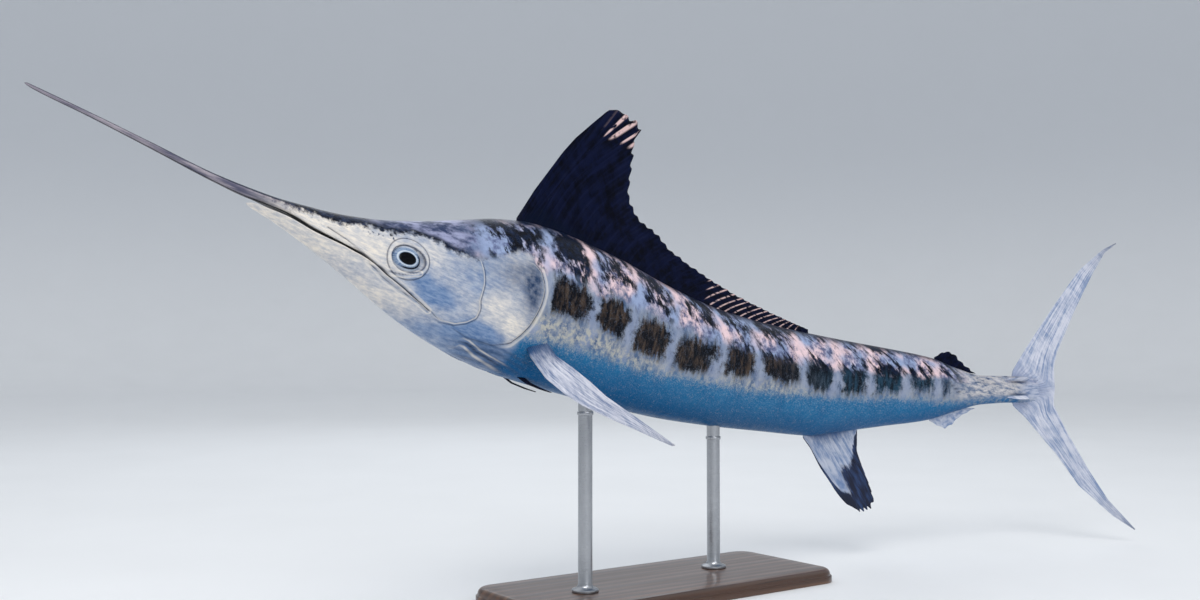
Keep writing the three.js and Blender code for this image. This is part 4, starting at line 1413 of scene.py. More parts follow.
@dataclass
class MedianFin(Fin):
    """A fin in the fish's own middle plane, its rays running from base to edge.

    spread pairs shares across the fin with shares of the edge line, and feet pairs them
    with shares of the span.
    """

    span: Span = (0.0, 1.0)
    edge: Line = ()
    spread: Line = ((0.0, 0.0), (1.0, 1.0))
    feet: Line = ((0.0, 0.0), (1.0, 1.0))
    unbroken: float = 0.0
    tear_over: float = 0.05
    above: bool = True
    sink: float = 0.004
    bow: float = 0.03
    notch: float = 0.02
    ragged: float = 0.0
    ripple: float = 0.0
    ripple_power: float = 1.5
    ripple_turns: tuple[float, float] = (2.3, 0.35)
    seed: int = 3

    def middle(self, u: Array, v: Array) -> Array:
        """Work out foot + (end - foot) * v, bent forward by bow * length * sin(pi v).

        The foot lies on the back or belly line, and the end on the edge line. The web
        ends short of its rays by notch, and nowhere before the share unbroken.

        Args:
            u: share across the fin.
            v: share along the ray.

        Returns:
            The middle surface's straight points, in metres.
        """
        base = np.interp(u, *zip(*self.feet))
        s = self.span[0] + (self.span[1] - self.span[0]) * base
        line = BODY.back(s) - self.sink if self.above else BODY.belly(s) + self.sink
        end = along_line(self.edge, np.interp(u, *zip(*self.spread)))
        foot = np.stack([s, line], -1)
        fan = u * self.rays
        noise = np.random.default_rng(self.seed).uniform(0, 1, self.rays + 1)
        torn = np.interp(fan, np.arange(self.rays + 1), noise)
        free = 1.0
        if self.unbroken:
            free = smoothstep(u, self.unbroken, self.unbroken + self.tear_over)
        reach = v * (1 - (self.notch * self.off_web(fan) + self.ragged * torn) * free)
        length = np.hypot(*np.moveaxis(end - foot, -1, 0)) * free
        bend = self.bow * length * np.sin(math.pi * v)
        at = foot + (end - foot) * reach[..., None]
        across, along = self.ripple_turns
        wave = np.sin(2 * math.pi * (across * u + along * v)) * self.ripple * v**self.ripple_power
        return np.stack([(at[..., 0] - bend) * LENGTH, wave, at[..., 1] * LENGTH], -1)


@dataclass
class SailFin(MedianFin):
    """The long first dorsal fin, with pale rays behind its middle and at its tip."""

    rear_from: Span = (0.49, 0.51)
    rear_to: Span = (0.62, 0.65)
    rear_ray: Bell = Bell(1.0, 0.0, 0.11)
    tip_reach: Span = (0.6, 0.8)
    tip_height: Span = (0.165, 0.18)
    tip_across: Span = (0.09, 0.12)
    tip_ray: Bell = Bell(0.85, 0.0, 0.2)

    def marks(self, points: Array, u: Array, v: Array) -> dict[str, Array]:
        """Work out the masks of the markings.

        Args:
            points: the straight points, in metres.
            u: share across the fin.
            v: share along the ray.

        Returns:
            The masks of pale rays and of a dusky patch.
        """
        s, h = points[..., 0] / LENGTH, points[..., 2] / LENGTH
        off_ray = np.abs(u * self.rays - np.round(u * self.rays))
        rear = smoothstep(s, *self.rear_from) * (1 - smoothstep(s, *self.rear_to))
        tip = smoothstep(v, *self.tip_reach) * smoothstep(h, *self.tip_height)
        tip = tip * smoothstep(u, *self.tip_across)
        pale = rear * self.rear_ray.at(off_ray) + tip * self.tip_ray.at(off_ray)
        return {"pale_ray": pale, "dusk": np.zeros(u.shape)}


@dataclass
class AnalFin(MedianFin):
    """The first anal fin, dusky towards its rear and its tip."""

    dusk_reach: Span = (0.3, 0.62)
    dusk_across: Span = (0.05, 0.42)
    tip_reach: Span = (0.75, 0.92)
    tip_dusk: float = 0.9

    def marks(self, points: Array, u: Array, v: Array) -> dict[str, Array]:
        """Work out the masks of the markings.

        Args:
            points: the straight points, in metres.
            u: share across the fin.
            v: share along the ray.

        Returns:
            The masks of pale rays and of a dusky patch.
        """
        dusk = smoothstep(v, *self.dusk_reach) * smoothstep(u, *self.dusk_across)
        dusk += self.tip_dusk * smoothstep(v, *self.tip_reach)
        return {"pale_ray": np.zeros(u.shape), "dusk": dusk}


@dataclass
class Finlet(MedianFin):
    """One of the two short fins before the tail."""

    rays: int = 6
    profile: RayProfile = RayProfile(0.0022, 0.0004)
    columns_per_ray: int = 12
    rows: int = 30
    spread: Line = ((0.0, 0.0), (0.3, 0.3), (1.0, 1.0))
    bow: float = 0.02


@dataclass
class BladeFin(Fin):
    """A fin between a leading and a trailing edge line, its rays running to the tip."""

    lead: Line = ()
    trail: Line = ()
    side: Side = Side.RIGHT
    lift: float = 0.0
    foot: tuple[float, float] = (-0.039, 0.031)

    def middle(self, u: Array, v: Array) -> Array:
        """Work out lead(v) + (trail(v) - lead(v)) * u, turned up by lift about the foot.

        Args:
            u: share from the leading to the trailing edge.
            v: share along the ray.

        Returns:
            The middle surface's straight points, in metres.
        """
        a, b = along_line(self.lead, v), along_line(self.trail, v)
        at = a + (b - a) * u[..., None]
        up, out = at[..., 1] - self.foot[0], at[..., 2] - self.foot[1]
        c, d = math.cos(self.lift), math.sin(self.lift)
        turned = self.foot[1] + out * c - up * d
        raised = self.foot[0] + up * c + out * d
        return np.stack([at[..., 0], self.side.value * turned, raised], -1) * LENGTH


DORSAL_EDGE = (
    (0.2435, 0.066), (0.257, 0.0964), (0.281, 0.1401), (0.293, 0.1579), (0.312, 0.1799),
    (0.328, 0.1975), (0.339, 0.2017), (0.355, 0.2022), (0.367, 0.2027), (0.378, 0.1984),
    (0.371, 0.1838), (0.371, 0.1693), (0.373, 0.1448), (0.374, 0.1309), (0.38, 0.1227),
    (0.393, 0.1124), (0.424, 0.1034), (0.443, 0.0923), (0.488, 0.0799), (0.544, 0.0678),
    (0.607, 0.0575), (0.652, 0.0485),
)
DORSAL_SPREAD = (
    (0.0, 0.0), (0.1, 0.295), (0.2, 0.4), (0.3, 0.49), (0.5, 0.65), (0.7, 0.823), (0.85, 0.93),
    (1.0, 1.0),
)
DORSAL_FEET = (
    (0.0, 0.0), (0.1, 0.02), (0.2, 0.09), (0.3, 0.2), (0.5, 0.42), (0.7, 0.645), (0.85, 0.81),
    (1.0, 1.0),
)
SECOND_DORSAL_EDGE = (
    (0.839, 0.0335), (0.847, 0.0385), (0.856, 0.0421), (0.867, 0.04), (0.878, 0.0293),
    (0.898, 0.0168),
)
ANAL_EDGE = (
    (0.658, -0.0668), (0.67, -0.0774), (0.685, -0.096), (0.711, -0.1227), (0.73, -0.1391),
    (0.746, -0.1433), (0.762, -0.139), (0.764, -0.1281), (0.758, -0.1156), (0.744, -0.0917),
    (0.736, -0.078), (0.7345, -0.056),
)
SECOND_ANAL_EDGE = (
    (0.835, -0.0388), (0.846, -0.044), (0.857, -0.0476), (0.866, -0.043), (0.876, -0.0335),
    (0.897, -0.0232),
)
PECTORAL_LEAD = (
    (0.2575, -0.0445, 0.027), (0.2565, -0.0533, 0.0374), (0.2671, -0.0683, 0.0487),
    (0.2842, -0.0781, 0.0571), (0.3001, -0.0835, 0.0619), (0.3322, -0.0887, 0.0664),
    (0.3648, -0.0925, 0.0672), (0.4129, -0.0981, 0.063),
)
PECTORAL_TRAIL = (
    (0.2735, -0.0345, 0.031), (0.2829, -0.0463, 0.0381), (0.3008, -0.0519, 0.0413),
    (0.319, -0.0593, 0.0449), (0.3374, -0.0683, 0.0486), (0.3672, -0.0784, 0.054),
    (0.3939, -0.088, 0.0588), (0.4175, -0.0968, 0.0627),
)
PELVIC_LEAD = (
    (0.269, -0.0672, 0.009), (0.28, -0.0708, 0.0095), (0.296, -0.0722, 0.0098),
    (0.309, -0.0724, 0.0098),
)
PELVIC_TRAIL = (
    (0.276, -0.0672, 0.0125), (0.284, -0.0698, 0.0125), (0.297, -0.071, 0.0115),
    (0.3105, -0.0718, 0.0102),
)
CAUDAL_UPPER_LEAD = (
    (0.944, 0.009, 0.0), (0.9465, 0.0215, 0.0), (0.963, 0.0462, 0.0), (1.003, 0.0999, 0.0),
    (1.034, 0.1395, 0.0), (1.065, 0.1643, 0.0), (1.0815, 0.1722, 0.0),
)
CAUDAL_UPPER_TRAIL = (
    (0.974, -0.002, 0.0), (1.001, -0.002, 0.0), (1.0, 0.0253, 0.0), (1.004, 0.0415, 0.0),
    (1.028, 0.0928, 0.0), (1.051, 0.1349, 0.0), (1.067, 0.1603, 0.0), (1.0825, 0.1714, 0.0),
)
CAUDAL_LOWER_LEAD = (
    (0.944, -0.0105, 0.0), (0.9475, -0.0205, 0.0), (0.963, -0.0335, 0.0), (0.999, -0.0742, 0.0),
    (1.029, -0.114, 0.0), (1.071, -0.1498, 0.0), (1.099, -0.1673, 0.0),
)
CAUDAL_LOWER_TRAIL = (
    (0.974, 0.002, 0.0), (1.001, 0.002, 0.0), (0.999, -0.0187, 0.0), (1.017, -0.0537, 0.0),
    (1.042, -0.0958, 0.0), (1.066, -0.1312, 0.0), (1.091, -0.1572, 0.0), (1.1, -0.1666, 0.0),
)
HIDDEN_FIN_LIFT = math.radians(58)


class Rise(Enum):
    """The upper and the lower of a pair, valued by the way it slopes."""

    UPPER = 1
    LOWER = -1


def side_fins(side: Side) -> list[Fin]:
    """Draw the two fins of one side.

    Args:
        side: the side. The right pectoral fin is lifted, because the photo hides it.

    Returns:
        The pectoral and the pelvic fin.
    """
    word = side.name.lower()
    return [
        BladeFin(
            f"pectoral_blade_{word}",
            (f"pectoral_fin_{word}",),
            FinSkin.SIDE,
            rays=12,
            profile=RayProfile(0.0042, 0.0005, web=0.66),
            rows=80,
            lead=PECTORAL_LEAD,
            trail=PECTORAL_TRAIL,
            side=side,
            lift=0.0 if side is Side.LEFT else HIDDEN_FIN_LIFT,
        ),
        BladeFin(
            f"pelvic_blade_{word}",
            (f"pelvic_fin_{word}",),
            FinSkin.DARK,
            rays=2,
            profile=RayProfile(0.0016, 0.0004),
            rows=40,
            lead=PELVIC_LEAD,
            trail=PELVIC_TRAIL,
            side=side,
        ),
    ]


def tail_lobe(rise: Rise, lead: Line, trail: Line) -> Fin:
    """Draw one lobe of the tail.

    Args:
        rise: which lobe.
        lead: its leading edge, as share along, height and side.
        trail: its trailing edge.

    Returns:
        The lobe.
    """
    word = rise.name.lower()
    return BladeFin(
        f"tail_lobe_{word}",
        (f"caudal_fin_{word}",),
        FinSkin.TAIL,
        rays=14,
        profile=RayProfile(0.0036, 0.0005, web=0.62),
        rows=90,
        lead=lead,
        trail=trail,
        foot=(0.0, 0.0),
    )


def all_fins() -> list[Fin]:
    """Draw every fin of the fish.

    Returns:
        The fins, ready to build.
    """
    return [
        SailFin(
            "first_dorsal_fin",
            ("dorsal_fin_lobe", "dorsal_fin_rear"),
            FinSkin.DARK,
            rays=40,
            profile=RayProfile(0.003, 0.00045, web=0.78),
            rows=56,
            span=(0.243, 0.658),
            edge=DORSAL_EDGE,
            spread=DORSAL_SPREAD,
            feet=DORSAL_FEET,
            unbroken=0.1,
            bow=0.1,
            notch=0.035,
            ragged=0.025,
            ripple=0.002,
        ),
        Finlet(
            "second_dorsal_fin_web",
            ("second_dorsal_fin",),
            FinSkin.DARK,
            span=(0.838, 0.872),
            edge=SECOND_DORSAL_EDGE,
            notch=0.1,
            ragged=0.05,
        ),
        AnalFin(
            "first_anal_fin",
            ("anal_fin_first",),
            FinSkin.PALE,
            rays=14,
            profile=RayProfile(0.0028, 0.00045),
            columns_per_ray=10,
            rows=50,
            span=(0.657, 0.734),
            edge=ANAL_EDGE,
            spread=((0.0, 0.0), (0.2, 0.52), (0.45, 0.6), (1.0, 1.0)),
            above=False,
            bow=-0.02,
            notch=0.04,
            ragged=0.02,
        ),
        Finlet(
            "second_anal_fin",
            ("anal_fin_second",),
            FinSkin.PALE,
            span=(0.834, 0.872),
            edge=SECOND_ANAL_EDGE,
            above=False,
            notch=0.06,
            ragged=0.03,
        ),
        tail_lobe(Rise.UPPER, CAUDAL_UPPER_LEAD, CAUDAL_UPPER_TRAIL),
        tail_lobe(Rise.LOWER, CAUDAL_LOWER_LEAD, CAUDAL_LOWER_TRAIL),
        *side_fins(Side.LEFT),
        *side_fins(Side.RIGHT),
    ]


def ball_angles(rows: int, columns: int) -> tuple[Array, Array]:
    """Spread the two angles of a ball's grid.

    Args:
        rows: rows from pole to pole.
        columns: columns round the axis.

    Returns:
        The angle from the first pole, and the angle round the axis, at each point.
    """
    t = np.linspace(0.0, math.pi, rows)
    p = np.linspace(0, 2 * math.pi, columns, endpoint=False)
    from_pole, turn = np.meshgrid(t, p, indexing="ij")
    return from_pole, turn


@dataclass
class Keel:
    """One of the low fins that stand out from the sides of the tail's stalk."""

    side: Side
    rise: Rise
    along: float = 0.949
    lower_level: float = -0.009
    upper_level: float = 0.0108
    sunk: float = 0.82
    long: float = 0.025
    wide: float = 0.0105
    thick: float = 0.0020
    sweep: float = 0.007
    slope: float = math.radians(26)
    rows: int = 40
    columns: int = 40
    reach: float = 0.9
    rays: float = 3.0

    def build(self) -> bpy.types.Object:
        """Make the keel.

        With t from its front to its rear end and p round its section, the point is
        (-a cos t + sweep * r^2, b sin t cos p, c sin t sin p (1 - r/2)), where r is
        how far it stands out, max(0, sin t cos p). It is turned by the slope about the
        body's length, and its middle lies just inside the skin.

        Returns:
            The posed keel.
        """
        t, p = ball_angles(self.rows, self.columns)
        stands = np.clip(np.sin(t) * np.cos(p), 0, 1)
        x = -self.long * np.cos(t) + self.sweep * stands**2
        out = self.wide * np.sin(t) * np.cos(p)
        up = self.thick * np.sin(t) * np.sin(p) * (1 - stands / 2)
        turn = self.rise.value * self.slope
        level = self.upper_level if self.rise is Rise.UPPER else self.lower_level
        skin = float(BODY.half_width(np.array([self.along]))[0]) * LENGTH * self.sunk
        y = skin + out * math.cos(turn) - up * math.sin(turn)
        z = level * LENGTH + out * math.sin(turn) + up * math.cos(turn)
        points = np.stack([self.along * LENGTH + x, self.side.value * y, z], -1)
        faces = grid_faces(self.rows, self.columns)
        if self.side is Side.LEFT:
            faces = faces[:, ::-1]
        word = f"{self.side.name}_{self.rise.name}".lower()
        piece = new_object(f"keel_{word}", BACKBONE.pose(points), faces.tolist())
        nothing = np.zeros(t.shape)
        store_fields(piece, {"place": points, "pale_ray": nothing, "dusk": nothing})
        store_fields(piece, {"reach": nothing + self.reach, "fan": self.rays * t / math.pi})
        settle_piece(piece, Slot.PALE_FIN, f"caudal_keel_{word}")
        return piece


@dataclass
class Eye:
    """An eyeball in its socket, with a clear bulge over the iris."""

    side: Side
    out: float = 0.0225
    radii: tuple[float, float, float] = (0.025, 0.017, 0.020)
    taper: float = math.radians(8)
    bulge: Bell = Bell(0.0008, 0.0, 0.55)
    front_power: int = 4
    rows: int = 56
    columns: int = 96

    def build(self) -> bpy.types.Object:
        """Make the ball.

        With t from the outward pole and p round it, the point is (a sin t cos p, b w +
        bulge * e^-(t/0.55)^2, c sin t sin p), where w is sign(cos t) * (1 - sin^4 t)^0.5,
        so that the front is flatter than a ball's. It is turned about the upright axis to
        follow the taper of the snout.

        Returns:
            The posed eyeball.
        """
        t, p = ball_angles(self.rows, self.columns)
        a, b, c = self.radii
        x = a * np.sin(t) * np.cos(p)
        front = np.sqrt(np.clip(1 - np.sin(t) ** self.front_power, 0, 1))
        y = b * np.sign(np.cos(t)) * front + self.bulge.at(t)
        z = c * np.sin(t) * np.sin(p)
        turned_x = x * math.cos(self.taper) - y * math.sin(self.taper)
        turned_y = x * math.sin(self.taper) + y * math.cos(self.taper)
        right = self.side.value * (self.out + turned_y)
        points = np.stack([EYE_AT[0] * LENGTH + turned_x, right, EYE_AT[1] * LENGTH + z], -1)
        faces = grid_faces(self.rows, self.columns)
        if self.side is Side.RIGHT:
            faces = faces[:, ::-1]
        word = self.side.name.lower()
        piece = new_object(f"eyeball_{word}", BACKBONE.pose(points), faces.tolist())
        store_fields(piece, {"gaze": np.stack([x, z, y], -1)})
        settle_piece(piece, Slot.EYE, f"eye_{word}")
        return piece


SHARP_FROM = math.radians(35)


@dataclass
class StandBase:
    """The flat wooden base with rounded corners and a moulded edge.

    The profile pairs how far each outline is drawn in with its height, in metres.
    """

    long: float = 0.58
    wide: float = 0.24
    tall: float = 0.022
    corner: float = 0.036
    corner_steps: int = 14
    least_corner: float = 0.001
    profile: Line = (
        (0.1, 0.0), (0.0012, 0.0), (0.0, 0.0012), (0.0, 0.0095), (0.0006, 0.0105), (0.0024, 0.0112),
        (0.0026, 0.0124), (0.0030, 0.0152), (0.0044, 0.0181), (0.0064, 0.0202), (0.0088, 0.0215),
        (0.0112, 0.022), (0.035, 0.022), (0.1, 0.022),
    )

    def outline(self, inset: float) -> Array:
        """Draw the outline: four corner arcs joined by straight runs.

        Args:
            inset: how far it is drawn in, in metres. Beyond the corner's radius the whole
                outline shrinks towards the middle.

        Returns:
            Array of x, y.
        """
        r = max(self.corner - inset, self.least_corner)
        corners = []
        for k, (sx, sy) in enumerate(((1, 1), (-1, 1), (-1, -1), (1, -1))):
            a = math.pi / 2 * (k + np.linspace(0, 1, self.corner_steps))
            x = sx * (self.long / 2 - self.corner) + r * np.cos(a)
            y = sy * (self.wide / 2 - self.corner) + r * np.sin(a)
            corners.append(np.stack([x, y], -1))
        shrink = 1 - inset / (self.wide / 2) if inset > self.corner else 1.0
        return np.concatenate(corners) * shrink

    def build(self) -> bpy.types.Object:
        """Make the base from outlines stacked along its moulded edge profile.

        Returns:
            The base, closed by a fan of triangles above and below.
        """
        rings = [np.insert(self.outline(inset), 2, height, axis=1) for inset, height in self.profile]
        sides = len(rings[0])
        last, total = sides * (len(rings) - 1), sides * len(rings)
        points = np.vstack([*rings, [[0.0, 0.0, 0.0], [0.0, 0.0, self.tall]]])
        ids = np.arange(sides)
        nxt = (ids + 1) % sides
        walls = grid_faces(len(rings), sides)
        under = np.stack([np.full(sides, total), nxt, ids], -1)
        over = np.stack([np.full(sides, total + 1), last + ids, last + nxt], -1)
        faces = walls.tolist() + under.tolist() + over.tolist()
        piece = new_object("base_board", points, faces)
        piece.data.set_sharp_from_angle(angle=SHARP_FROM)
        settle_piece(piece, Slot.WOOD, "stand_base")
        return piece


@dataclass
class StandRod:
    """An upright steel rod with a turned foot on the base and a collar below the fish.

    The foot pairs the radius beyond the rod's own with the height over the base, and the
    collar pairs it with the depth below the rod's top.
    """

    node: str
    share: float
    radius: float = 0.011
    base_top: float = 0.0222
    bite: float = 0.010
    sides: int = 48
    foot: Line = (
        (0.009, 0.0), (0.0096, 0.0008), (0.0096, 0.0032), (0.0085, 0.0045), (0.003, 0.0062),
        (0.0012, 0.0085), (0.0, 0.0115), (0.0, 0.05),
    )
    collar: Line = (
        (0.0, 0.06), (0.0, 0.032), (0.0012, 0.0315), (0.0016, 0.0305), (0.0016, 0.0275),
        (0.0012, 0.0265), (0.0, 0.026), (0.0, 0.0),
    )

    def build(self) -> bpy.types.Object:
        """Make the rod by turning its profile of radius and height about its axis.

        Returns:
            The rod, with its top inside the fish.
        """
        belly = BODY.belly(np.array([self.share]))[0] * LENGTH
        x, y, z = BACKBONE.pose(np.array([[self.share * LENGTH, 0.0, belly]]))[0]
        r, low, high = self.radius, self.base_top, z + self.bite
        foot = [(r + more, low + up) for more, up in self.foot]
        collar = [(r + more, high - down) for more, down in self.collar]
        rows = [(0.0, low), *foot, (r, (low + high) / 2), *collar, (0.0, high)]
        radii, heights = np.array(rows).T[..., None]
        a = np.linspace(0, 2 * math.pi, self.sides, endpoint=False)
        points = np.stack([x + radii * np.cos(a), y + radii * np.sin(a), heights + 0 * a], -1)
        faces = grid_faces(len(rows), self.sides)
        piece = new_object(self.node + "_turned", points, faces.tolist())
        piece.data.set_sharp_from_angle(angle=SHARP_FROM)
        settle_piece(piece, Slot.STEEL, self.node)
        return piece


def srgb(colour: Colour) -> tuple[float, float, float, float]:
    """Turn an sRGB colour into a linear one.

    Args:
        colour: red, green and blue of 0 to 255.

    Returns:
        Linear red, green and blue, and full alpha.
    """
    channels = [c / 255 for c in colour]
    linear = [c / 12.92 if c <= 0.04045 else ((c + 0.055) / 1.055) ** 2.4 for c in channels]
    return (linear[0], linear[1], linear[2], 1.0)


Socket = bpy.types.NodeSocket
Value = Socket | float | tuple
Triple = tuple[float, float, float]


class Graph:
    """A shader or group node tree, built by short calls."""

    def __init__(self, tree: bpy.types.NodeTree) -> None:
        """Keep the tree and empty it."""
        self.tree = tree
        tree.nodes.clear()

    def node(self, kind: str, *values: Value, **settings: object) -> bpy.types.Node:
        """Add a node.

        Args:
            kind: its type.
            values: what goes into its first inputs.
            settings: its properties.

        Returns:
            The node.
        """
        made = self.tree.nodes.new(kind)
        for key, value in settings.items():
            setattr(made, key, value)
        for socket, value in zip(made.inputs, values):
            self.feed(socket, value)
        return made

    def feed(self, target: Socket, value: Value) -> None:
        """Link a socket to an input, or set the input's own value.

        Args:
            target: the input.
            value: a socket, or a constant.
        """
        if isinstance(value, bpy.types.NodeSocket):
            self.tree.links.new(value, target)
        else:
            target.default_value = value

    def set(self, made: bpy.types.Node, **values: Value) -> Socket | None:
        """Feed a node's inputs by name.

        Args:
            made: the node.
            values: by the input's name in small letters, what goes in.

        Returns:
            The node's first output, if it has one.
        """
        inputs = {name.lower().replace(" ", "_"): name for name in made.inputs.keys()}
        for name, value in values.items():
            self.feed(made.inputs[inputs[name]], value)
        return made.outputs[0] if made.outputs else None

    def math(self, operation: str, a: Value, b: Value = 0.0, *c: Value, clamp: bool = False) -> Socket:
        """Return the result of a Math node with two or three inputs."""
        settings = {"operation": operation, "use_clamp": clamp}
        return self.node("ShaderNodeMath", a, b, *c, **settings).outputs[0]

    def add(self, *values: Value) -> Socket:
        """Return the sum of numbers."""
        return reduce(lambda a, b: self.math("ADD", a, b), values)

    def times(self, *values: Value) -> Socket:
        """Return the product of numbers."""
        return reduce(lambda a, b: self.math("MULTIPLY", a, b), values)

    def away(self, value: Value, centre: float) -> Socket:
        """Return how far a value is from a centre."""
        return self.math("ABSOLUTE", self.math("SUBTRACT", value, centre))

    def smooth(self, value: Value, low: float, high: float, *out: float) -> Socket:
        """Return a smooth step between low and high, from 0 to 1 or between the two of out."""
        settings = {"interpolation_type": "SMOOTHSTEP"}
        return self.node("ShaderNodeMapRange", value, low, high, *out, **settings).outputs[0]

    def band(self, value: Value, centre: float, half: float) -> Socket:
        """Return a soft band of 0 to 1 round a value's centre."""
        return self.smooth(self.away(value, centre), half, 0.0)

    def mix(self, factor: Value, a: Value, b: Value) -> Socket:
        """Mix two colours.

        Args:
            factor: the share of the second.
            a: the first, as a socket or a linear colour.
            b: the second.

        Returns:
            The mixed colour.
        """
        made = self.node("ShaderNodeMix", factor, data_type="RGBA", clamp_factor=True)
        self.feed(made.inputs[6], a)
        self.feed(made.inputs[7], b)
        return made.outputs[2]

    def tint(self, factor: Value, base: Value, colour: Colour) -> Socket:
        """Return a colour with an sRGB colour laid over it by a factor."""
        return self.mix(factor, base, srgb(colour))

    def field(self, name: str) -> Socket:
        """Return a vertex attribute as one number."""
        return self.node("ShaderNodeAttribute", attribute_name=name).outputs["Fac"]

    def vector_field(self, name: str) -> Socket:
        """Return a vertex attribute as a vector."""
        return self.node("ShaderNodeAttribute", attribute_name=name).outputs["Vector"]

    def split(self, vector: Value) -> Sequence[Socket]:
        """Return a vector's x, y and z."""
        return self.node("ShaderNodeSeparateXYZ", vector).outputs

    def join(self, *parts: Value) -> Socket:
        """Return a vector of up to three numbers."""
        return self.node("ShaderNodeCombineXYZ", *parts).outputs[0]

    def scaled(self, vector: Value, factors: Triple) -> Socket:
        """Return a vector multiplied component by component."""
        return self.node("ShaderNodeVectorMath", vector, factors, operation="MULTIPLY").outputs[0]

    def sheared(self, vector: Value, slope: float) -> Socket:
        """Return a vector with slope * z added to x, so that upright marks lean."""
        x, y, z = self.split(vector)
        return self.join(self.math("MULTIPLY_ADD", z, slope, x), y, z)

    def use(self, group: bpy.types.NodeTree, **values: Value) -> Sequence[Socket]:
        """Return the outputs of a node group that is fed by its inputs' names."""
        self.set(made := self.node("ShaderNodeGroup", node_tree=group), **values)
        return made.outputs

    def bump(self, height: Value, distance: float, strength: float) -> Socket:
        """Return a normal bumped by a height, which distance scales to metres."""
        made = self.node("ShaderNodeBump")
        return self.set(made, height=height, distance=distance, strength=strength)


@dataclass(frozen=True)
class Grain:
    """Fractal noise, drawn out along the fish's axes by stretch and leaning tailwards."""

    scale: float
    detail: float
    roughness: float
    stretch: Triple | None = None
    lean: float = 0.0

    def draw(self, g: Graph, place: Socket) -> Socket:
        """Add the noise to a graph.

        Args:
            g: the graph.
            place: the place on the straight fish.

        Returns:
            Noise of about 0 to 1.
        """
        if self.lean:
            place = g.sheared(place, self.lean)
        if self.stretch:
            place = g.scaled(place, self.stretch)
        made = g.node("ShaderNodeTexNoise", noise_dimensions="3D")
        rough = self.roughness
        return g.set(made, vector=place, scale=self.scale, detail=self.detail, roughness=rough)

    def swing(self, g: Graph, place: Socket) -> Socket:
        """Return the noise less a half, so that it swings about 0."""
        return g.math("SUBTRACT", self.draw(g, place), 0.5)


def streak(stretch: Triple, detail: float, roughness: float, lean: float = 0.0) -> Grain:
    """Return a grain whose scale lies in its stretch."""
    return Grain(1.0, detail, roughness, stretch, lean)


@dataclass(frozen=True)
class Ramp:
    """Two colours, and the values between which the first gives way to the last."""

    low: float
    high: float
    first: Colour
    last: Colour

    def over(self, g: Graph, value: Value) -> Socket:
        """Add the ramp to a graph.

        Args:
            g: the graph.
            value: what the ramp looks at.

        Returns:
            The colour.
        """
        return g.tint(g.smooth(value, self.low, self.high), srgb(self.first), self.last)


def new_group(
    name: str, numbers: dict[str, float], outputs: Sequence[str], placed: bool = True
) -> bpy.types.NodeTree:
    """Make an empty shader node group with named sockets.

    Args:
        name: the group's name.
        numbers: number inputs with their defaults.
        outputs: names of number outputs.
        placed: whether it has a vector input for the place on the fish.

    Returns:
        The group's tree.
    """
    tree = bpy.data.node_groups.new(name, "ShaderNodeTree")
    if placed:
        tree.interface.new_socket(name="Place", in_out="INPUT", socket_type="NodeSocketVector")
    for key, value in numbers.items():
        made = tree.interface.new_socket(name=key, in_out="INPUT", socket_type="NodeSocketFloat")
        made.default_value = value
    for key in outputs:
        tree.interface.new_socket(name=key, in_out="OUTPUT", socket_type="NodeSocketFloat")
    return tree


@dataclass(frozen=True)
class SpeckleGroup:
    """Fine grains whose share of the surface follows a mask, as where silver breaks up."""

    name: str = "speckle"
    cover: float = 0.5
    softness: float = 0.12
    fine: Grain = Grain(520.0, 2.0, 0.6)
    clump: Grain = Grain(130.0, 3.0, 0.6)
    fine_share: float = 0.65
    contrast: float = 2.6

    def build(self) -> bpy.types.NodeTree:
        """Make the group: place, cover and softness in, grains out as 0 to 1.

        The grain is (cover - ((noise - 0.5) * contrast + 0.5)) / softness + 0.5.

        Returns:
            The group.
        """
        tree = new_group(self.name, {"Cover": self.cover, "Softness": self.softness}, ("Grain",))
        g = Graph(tree)
        source = g.node("NodeGroupInput").outputs
        fine, clump = (grain.draw(g, source["Place"]) for grain in (self.fine, self.clump))
        clump = g.math("MULTIPLY", clump, 1 - self.fine_share)
        mixed = g.math("SUBTRACT", g.math("MULTIPLY_ADD", fine, self.fine_share, clump), 0.5)
        spread = g.math("MULTIPLY_ADD", mixed, self.contrast, 0.5)
        above = g.math("SUBTRACT", source["Cover"], spread)
        ratio = g.math("DIVIDE", above, source["Softness"])
        g.set(g.node("NodeGroupOutput"), grain=g.math("ADD", ratio, 0.5, clamp=True))
        return tree


@dataclass(frozen=True)
class ScaleGroup:
    """Small lance-shaped scales bedded in the skin."""

    name: str = "fine_scales"
    stretch: Triple = (170.0, 420.0, 420.0)
    edge: float = 0.22
    plate_share: float = 0.55
    skin: Grain = Grain(0.35, 4.0, 0.6)

    def build(self) -> bpy.types.NodeTree:
        """Make the group: place in, height of 0 to 1 out.

        Returns:
            The group.
        """
        tree = new_group(self.name, {}, ("Height",))
        g = Graph(tree)
        place = g.scaled(g.node("NodeGroupInput").outputs["Place"], self.stretch)
        cells = g.node("ShaderNodeTexVoronoi", feature="DISTANCE_TO_EDGE")
        g.set(cells, vector=place, scale=1.0)
        plates = g.smooth(cells.outputs["Distance"], 0.0, self.edge)
        skin = g.math("MULTIPLY", self.skin.draw(g, place), 1 - self.plate_share)
        height = g.math("MULTIPLY_ADD", plates, self.plate_share, skin)
        g.set(g.node("NodeGroupOutput"), height=height)
        return tree


